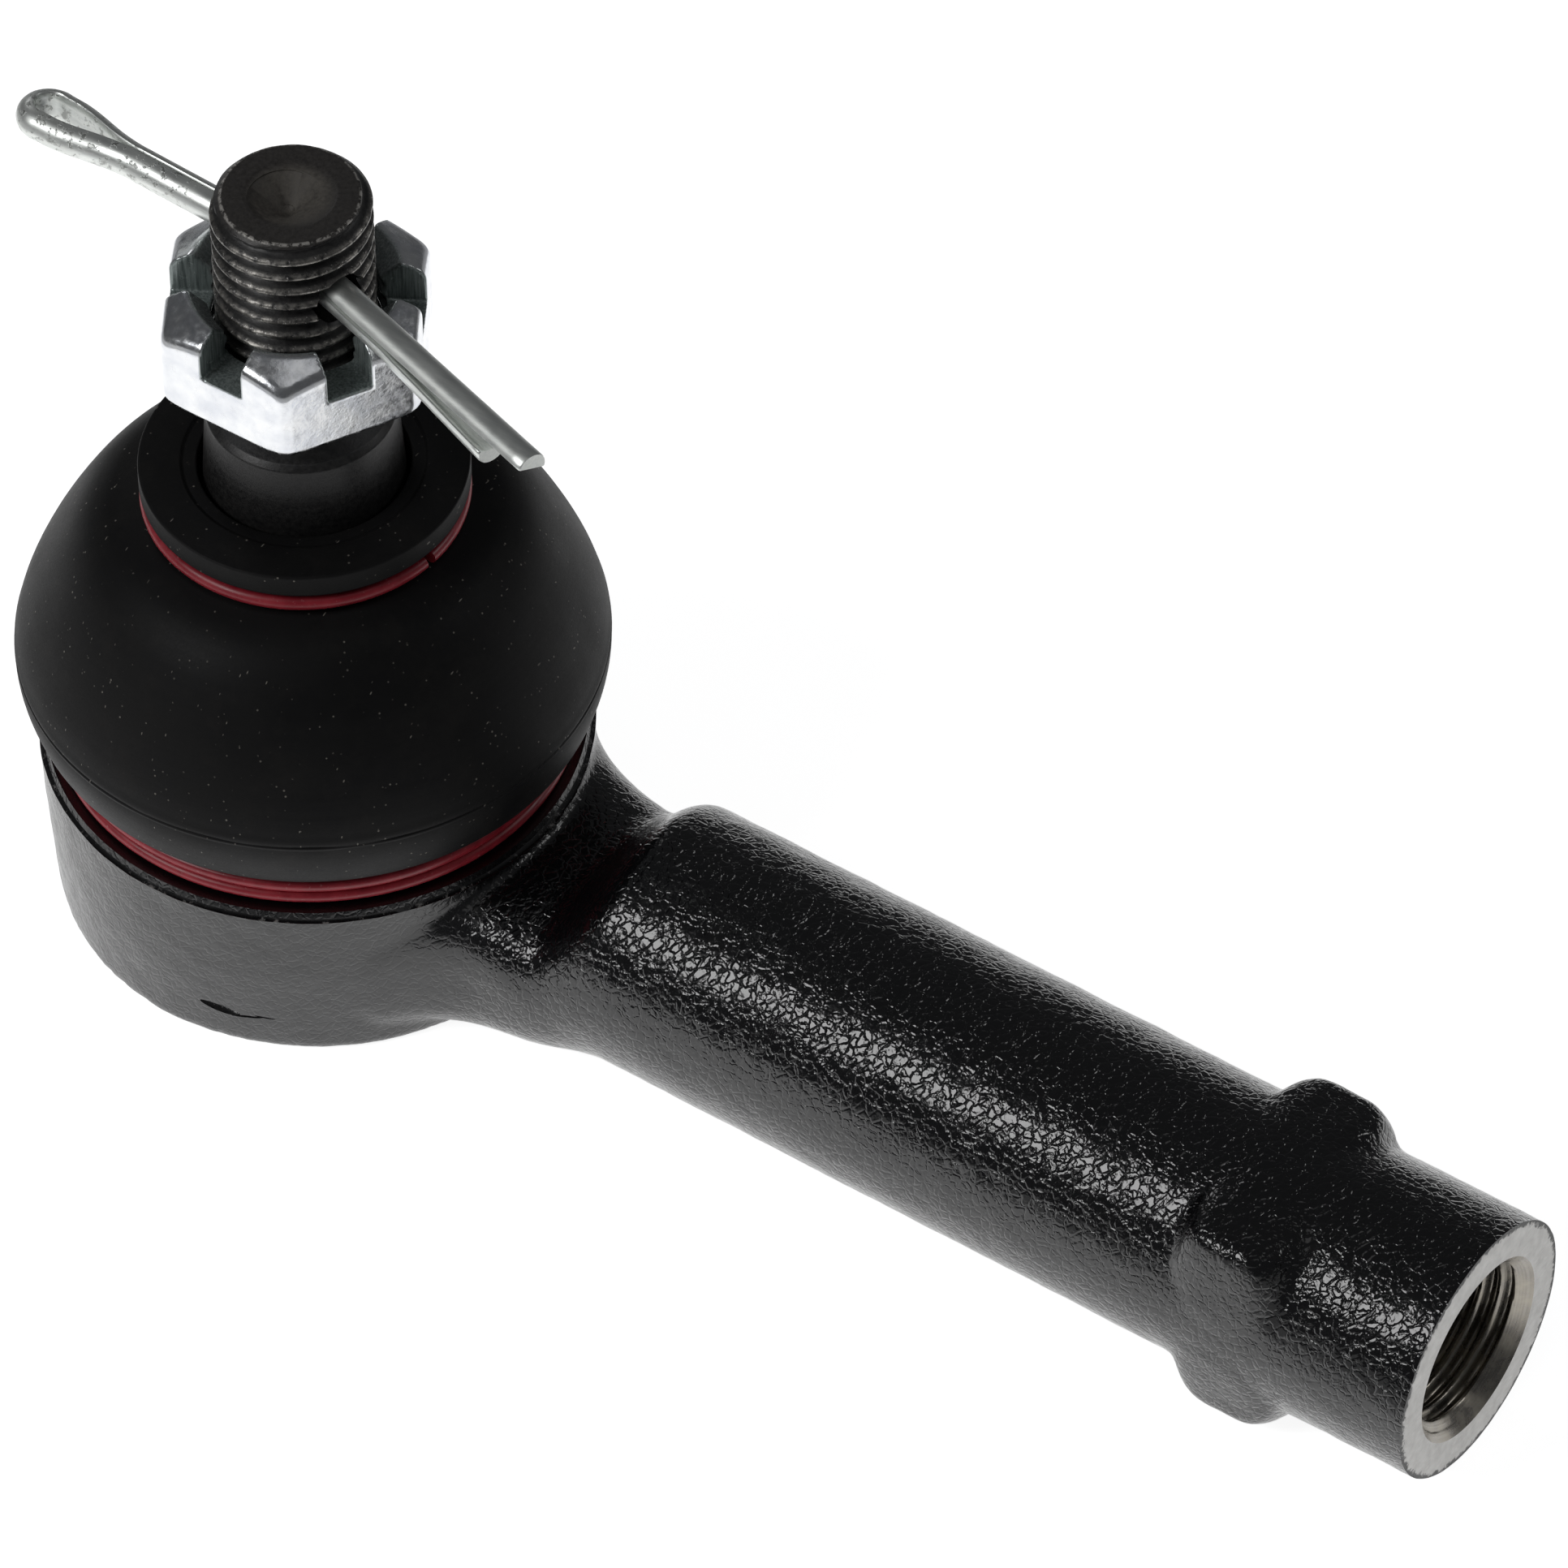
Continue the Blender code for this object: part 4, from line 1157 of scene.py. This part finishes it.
def pin_frame(s):
    """Centre, direction and split-plane normal of the pin at s."""
    centre = (pin_axis(s - 0.8) + pin_axis(s + 0.8) + pin_axis(s) * 2) / 4
    along = (pin_axis(s + 1.2) - pin_axis(s - 1.2)).normalized()
    side = Vector((0, 0, 1)).cross(along).normalized()
    up = along.cross(side)
    turn = float(smoothstep(s, -8, 8))
    lean = PIN_TILT_REAR_DEG + (PIN_TILT_FRONT_DEG - PIN_TILT_REAR_DEG) * turn
    c, s_lean = polar(1.0, lean)
    return centre, along, up * s_lean - side * c


def pin_route():
    """The flat face's line in the pin's own plane: leg, eye and second leg."""
    flat = PIN_SPLIT / 2
    leg = list(np.linspace(-14.0, 12.0, 40))
    shoulder = smooth_curve([(-15.2, flat), (PIN_EYE_START, flat + 0.02), (-18.4, 0.35),
                             (-20.9, 0.95), (-22.3, 1.18)], 4)
    upper = [(s, flat) for s in np.linspace(PIN_LONG_LEG, 13.0, 14)]
    upper += [(s, flat) for s in reversed(leg)] + shoulder
    eye = []
    for i in range(25):
        ds, dn = polar(PIN_EYE_RADIUS, 75.0 + 210.0 * i / 24)
        eye.append((PIN_EYE_CENTRE + ds, dn))
    lower = [(s, -n) for s, n in reversed(shoulder)] + [(s, -flat) for s in leg]
    spread = []
    for t in np.linspace(0.56, 1.0, 12):
        away = PIN_SPREAD * float(smoothstep(t, 0.35, 1.25))
        spread.append((PIN_SHORT_LEG * t, -flat - away))
    return upper + eye + lower + spread


def pin_section():
    """Half-round wire: depth from the flat and width, its two edges eased."""
    outline = [(0.0, -PIN_RADIUS * 0.5), (0.0, -PIN_RADIUS * 0.9), (0.10, -PIN_RADIUS * 0.985)]
    for k in range(1, 12):
        outline.append(polar(PIN_RADIUS, -90.0 + 15.0 * k))
    outline += [(0.10, PIN_RADIUS * 0.985), (0.0, PIN_RADIUS * 0.9), (0.0, PIN_RADIUS * 0.5)]
    return outline


def build_pin():
    route = pin_route()
    outline = pin_section()
    rings = []
    for i, (s, n) in enumerate(route):
        centre, along, normal = pin_frame(s)
        before = Vector(route[max(i - 1, 0)])
        after = Vector(route[min(i + 1, len(route) - 1)])
        heading = (after - before).normalized()
        outward = along * heading.y - normal * heading.x
        across = along.cross(normal)
        tangent = along * heading.x + normal * heading.y
        start = centre + normal * n
        ring = [start + outward * depth + across * width for depth, width in outline]
        if i in (0, len(route) - 1):
            back = tangent * (0.12 if i == 0 else -0.12)
            middle = start + outward * PIN_RADIUS * 0.42
            easy = [middle + (p - middle) * 0.93 for p in ring]
            ring = [p + back for p in ring]
            rings += [easy, ring] if i == 0 else [ring, easy]
            continue
        rings.append(ring)
    return paint(ringed("split_pin", rings, smooth_deg=50), pin_zinc())


# ---- boot, ring and its clips

def boot_profile():
    """Closed outline of the boot's wall: collar, dome, bead and inside."""
    bead_out = LOWER_CLIP_RADIUS - LOWER_CLIP_WIRE - GAP
    bead_in = GROOVE_RADIUS + GAP
    root_z = COLLAR_BOTTOM_Z - 2.1
    collar = rounded([
        (BOOT_BORE_RADIUS, 38.9),
        (BOOT_BORE_RADIUS, RING_TOP_Z + GAP),
        (LIP_INNER_RADIUS, RING_TOP_Z + GAP),
        (LIP_INNER_RADIUS, COLLAR_TOP_Z - 0.15),
        (9.0, COLLAR_TOP_Z - 0.15),
        (9.25, COLLAR_TOP_Z),
        (COLLAR_RADIUS, COLLAR_TOP_Z),
        (COLLAR_RADIUS, COLLAR_BOTTOM_Z),
        (BOOT_NECK_RADIUS, COLLAR_BOTTOM_Z),
        (BOOT_NECK_RADIUS, root_z + 0.1),
        (BOOT_NECK_RADIUS + 1.0, root_z),
    ], 0.22, 4, closed=False)
    outer = smooth_curve([
        (BOOT_NECK_RADIUS + 1.0, root_z),
        (15.2, 38.1),
        (17.8, 35.4),
        (20.75, 30.1),
        (BOOT_EQUATOR_RADIUS, BOOT_EQUATOR_Z),
        (21.7, 20.9),
        (20.1, 18.85),
    ], 8)
    bead = rounded([
        (20.1, 18.85),
        (bead_out, 18.6),
        (bead_out, RIM_Z + 0.45),
        (bead_in, RIM_Z + 0.45),
        (bead_in, GROOVE_TOP_Z - GAP),
        (18.75, 19.55),
    ], 0.25, 3, closed=False)
    inner = smooth_curve([
        (18.75, 19.55),
        (20.1, 21.6),
        (BOOT_EQUATOR_RADIUS - BOOT_WALL, BOOT_EQUATOR_Z),
        (19.1, 29.6),
        (16.3, 34.5),
        (14.1, 36.8),
        (BOOT_BORE_RADIUS + 1.2, 38.3),
    ], 4)
    return collar[:-1] + outer + bead[1:-1] + inner


def parting_line(points):
    """The mould's parting line: a fine broken step round the equator."""
    out = np.hypot(points[:, 0], points[:, 1])
    rise = points[:, 2] - BOOT_EQUATOR_Z
    outside = out > PARTING_FROM_RADIUS
    groove = np.exp(-(rise / 0.06) ** 2) * outside
    flash = np.exp(-((rise + 0.17) / 0.10) ** 2) * outside
    for i in np.nonzero(groove + flash > 0.03)[0]:
        ragged = 0.55 + 1.1 * noise.noise(Vector(points[i]) * 0.35)
        points[i, :2] *= 1 + (0.05 * flash[i] - 0.09 * max(ragged, 0.0) * groove[i]) / out[i]


def with_parting_rows(profile):
    """The outline with close rows of points where the parting line crosses it."""
    extra = []
    for a, b in zip(profile, profile[1:]):
        extra.append(a)
        crosses = (a[1] - BOOT_EQUATOR_Z) * (b[1] - BOOT_EQUATOR_Z) <= 0
        if crosses and a[0] > PARTING_FROM_RADIUS and abs(a[1] - b[1]) > 0.3:
            extra += [(BOOT_EQUATOR_RADIUS, BOOT_EQUATOR_Z + rise) for rise in PARTING_ROWS]
    extra.append(profile[-1])
    ordered = []
    for point in extra:
        near = ordered and math.dist(point, ordered[-1]) < 0.02
        if not near:
            ordered.append(point)
    return ordered


def build_boot():
    profile = with_parting_rows(boot_profile())
    boot = turned("rubber_boot", profile, FINE_STEPS, smooth_deg=50)
    points = read_points(boot)
    parting_line(points)
    write_points(boot, points)
    return paint(boot, boot_rubber())


def build_ring():
    profile = rounded([
        (RING_INNER_RADIUS, RING_BOTTOM_Z),
        (RING_OUTER_RADIUS, RING_BOTTOM_Z),
        (RING_OUTER_RADIUS, RING_TOP_Z),
        (RING_INNER_RADIUS, RING_TOP_Z),
    ], 0.22, 4)
    return paint(turned("collar_ring", profile, SMALL_STEPS), ring_steel())


def wound_clip(name, radius, wire, start_z, pitch, start_deg, turns, mat):
    """A round-wire clip of flat turns, with a short step up after each turn."""
    count = round(140 * turns)
    rings = []
    for i in range(-1, count + 2):
        sweep = 360.0 * turns * min(max(i, 0), count) / count
        angle = start_deg + sweep
        step = sweep // 360.0
        step += float(smoothstep(sweep % 360.0, 360.0 - CLIP_STEP_DEG, 360.0))
        centre_z = start_z + pitch * step
        thick = wire * (0.8 if i in (-1, count + 1) else 1.0)
        ring = []
        for k in range(16):
            dr, dz = polar(thick, 22.5 * k)
            x, y = polar(radius + dr, angle)
            ring.append((x, y, centre_z + dz))
        rings.append(ring)
    return paint(ringed(name, rings, smooth_deg=60), mat)


def build_clips():
    red = clip_red()
    upper = wound_clip("upper_wire_clip", UPPER_CLIP_RADIUS, UPPER_CLIP_WIRE,
                       UPPER_CLIP_Z, 0.0, UPPER_CLIP_START, UPPER_CLIP_TURNS, red)
    lower = wound_clip("lower_wire_clip", LOWER_CLIP_RADIUS, LOWER_CLIP_WIRE,
                       LOWER_CLIP_Z, LOWER_CLIP_PITCH, LOWER_CLIP_START, LOWER_CLIP_TURNS, red)
    return upper, lower


# ---- camera, floor, lights

def add_camera():
    turn = turned_about("Z", CAMERA_AZIMUTH) @ turned_about("X", 90.0 - CAMERA_ELEVATION)
    turn = turn @ turned_about("Z", CAMERA_ROLL)
    data = bpy.data.cameras.new("photo_camera")
    data.lens = CAMERA_LENS
    data.sensor_width = CAMERA_SENSOR
    data.clip_start = 0.05
    data.clip_end = 20.0
    camera = linked("photo_camera", data)
    back = turn @ Vector((0.0, 0.0, CAMERA_DISTANCE))
    camera.matrix_world = Matrix.Translation((Vector(CAMERA_TARGET) + back) * MM) @ turn
    bpy.context.scene.camera = camera


def add_floor():
    """A pale glowing floor. Reflections see only its lit part, like a light table's."""
    bm = bmesh.new()
    bmesh.ops.create_circle(bm, cap_ends=True, radius=FLOOR_RADIUS * MM, segments=96)
    mesh = bpy.data.meshes.new("floor")
    bm.to_mesh(mesh)
    bm.free()
    floor = linked("floor", mesh)
    floor.location = (0.04, 0.0, -0.0001)
    m = Shading("floor_white", "object")
    cloud = m.noise(0.02, 2.0)
    colour = m.blend(cloud, (0.86, 0.86, 0.86), (0.90, 0.90, 0.90))
    edges = []
    for direction, middle, half in TABLE_SIDES:
        along = m.vector("DOT_PRODUCT", m.place, (*direction, 0.0))["Value"]
        off = m.math("ABSOLUTE", m.math("SUBTRACT", along, middle))
        edges.append(m.math("SUBTRACT", off, half))
    lit = m.spread(m.math("MAXIMUM", *edges), 0.0, TABLE_FADE, 1.0, 0.0)
    seen = m.node("ShaderNodeLightPath").outputs["Is Camera Ray"]
    glow = m.blend(m.math("MAXIMUM", lit, seen), (0.08, 0.08, 0.08), colour)
    mesh.materials.append(m.finish(
        colour, 0.9, Emission_Color=glow, Emission_Strength=FLOOR_GLOW))


def softbox(name, azimuth, elevation, distance, width, height, radiance):
    """A rectangular area light aimed at the middle of the object."""
    flat, rise = polar(1.0, elevation)
    out = Vector((*polar(flat, azimuth), rise))
    data = bpy.data.lights.new(name, "AREA")
    data.shape = "RECTANGLE"
    data.size = width
    data.size_y = height
    data.energy = radiance * math.pi * width * height
    light = linked(name, data)
    light.location = Vector(SOFTBOX_TARGET) * MM + out * distance
    light.rotation_euler = out.to_track_quat("Z", "Y").to_euler()


def add_lights():
    for name, sizes in SOFTBOXES.items():
        softbox(name, *sizes)
    world = bpy.data.worlds.new("studio")
    world.use_nodes = True
    background = world.node_tree.nodes["Background"]
    background.inputs["Color"].default_value = (*WORLD_COLOUR, 1.0)
    background.inputs["Strength"].default_value = WORLD_STRENGTH
    bpy.context.scene.world = world
    bpy.context.scene.view_settings.view_transform = "Standard"


# ---- assembly

def place(piece, body, slot, *nodes):
    """The piece stands for the CAD nodes and moves with body; slot is not used."""
    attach(piece, body)
    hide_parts(*nodes)


def dress(mat, *nodes):
    """Give carried-over CAD pieces a procedural material."""
    for node in nodes:
        obj = bpy.data.objects[node]
        if not obj.material_slots:
            obj.data.materials.append(mat)
        for entry in obj.material_slots:
            entry.material = mat


def main():
    add_camera()
    add_floor()
    add_lights()
    place(build_housing(), "housing", "black_paint", "housing")
    place(build_end_cover(), "housing", "cover_zinc", "end_cover")
    place(build_stud(), "stud", "stud_phosphate", "ball_stud")
    place(build_nut(), "stud", "nut_zinc", "castle_nut")
    place(build_pin(), "stud", "pin_zinc", "cotter_pin")
    place(build_ring(), "collar", "ring_steel", "boot_collar_ring")
    upper_clip, lower_clip = build_clips()
    place(upper_clip, "collar", "clip_red", "boot_upper_clip")
    place(lower_clip, "housing", "clip_red", "boot_lower_clip")
    boot = build_boot()
    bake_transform(boot)
    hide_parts("dust_boot")
    dress(bearing_plastic(), "upper_bearing", "lower_bearing")
    dress(turned_metal("spring_steel", (0.12, 0.12, 0.13), (0.25, 0.25, 0.27),
                       0.30, 0.45, "object"), "preload_spring")
    dress(turned_metal("plate_steel", (0.32, 0.32, 0.33), (0.46, 0.46, 0.47),
                       0.34, 0.48, "object"), "pressure_plate")


main()
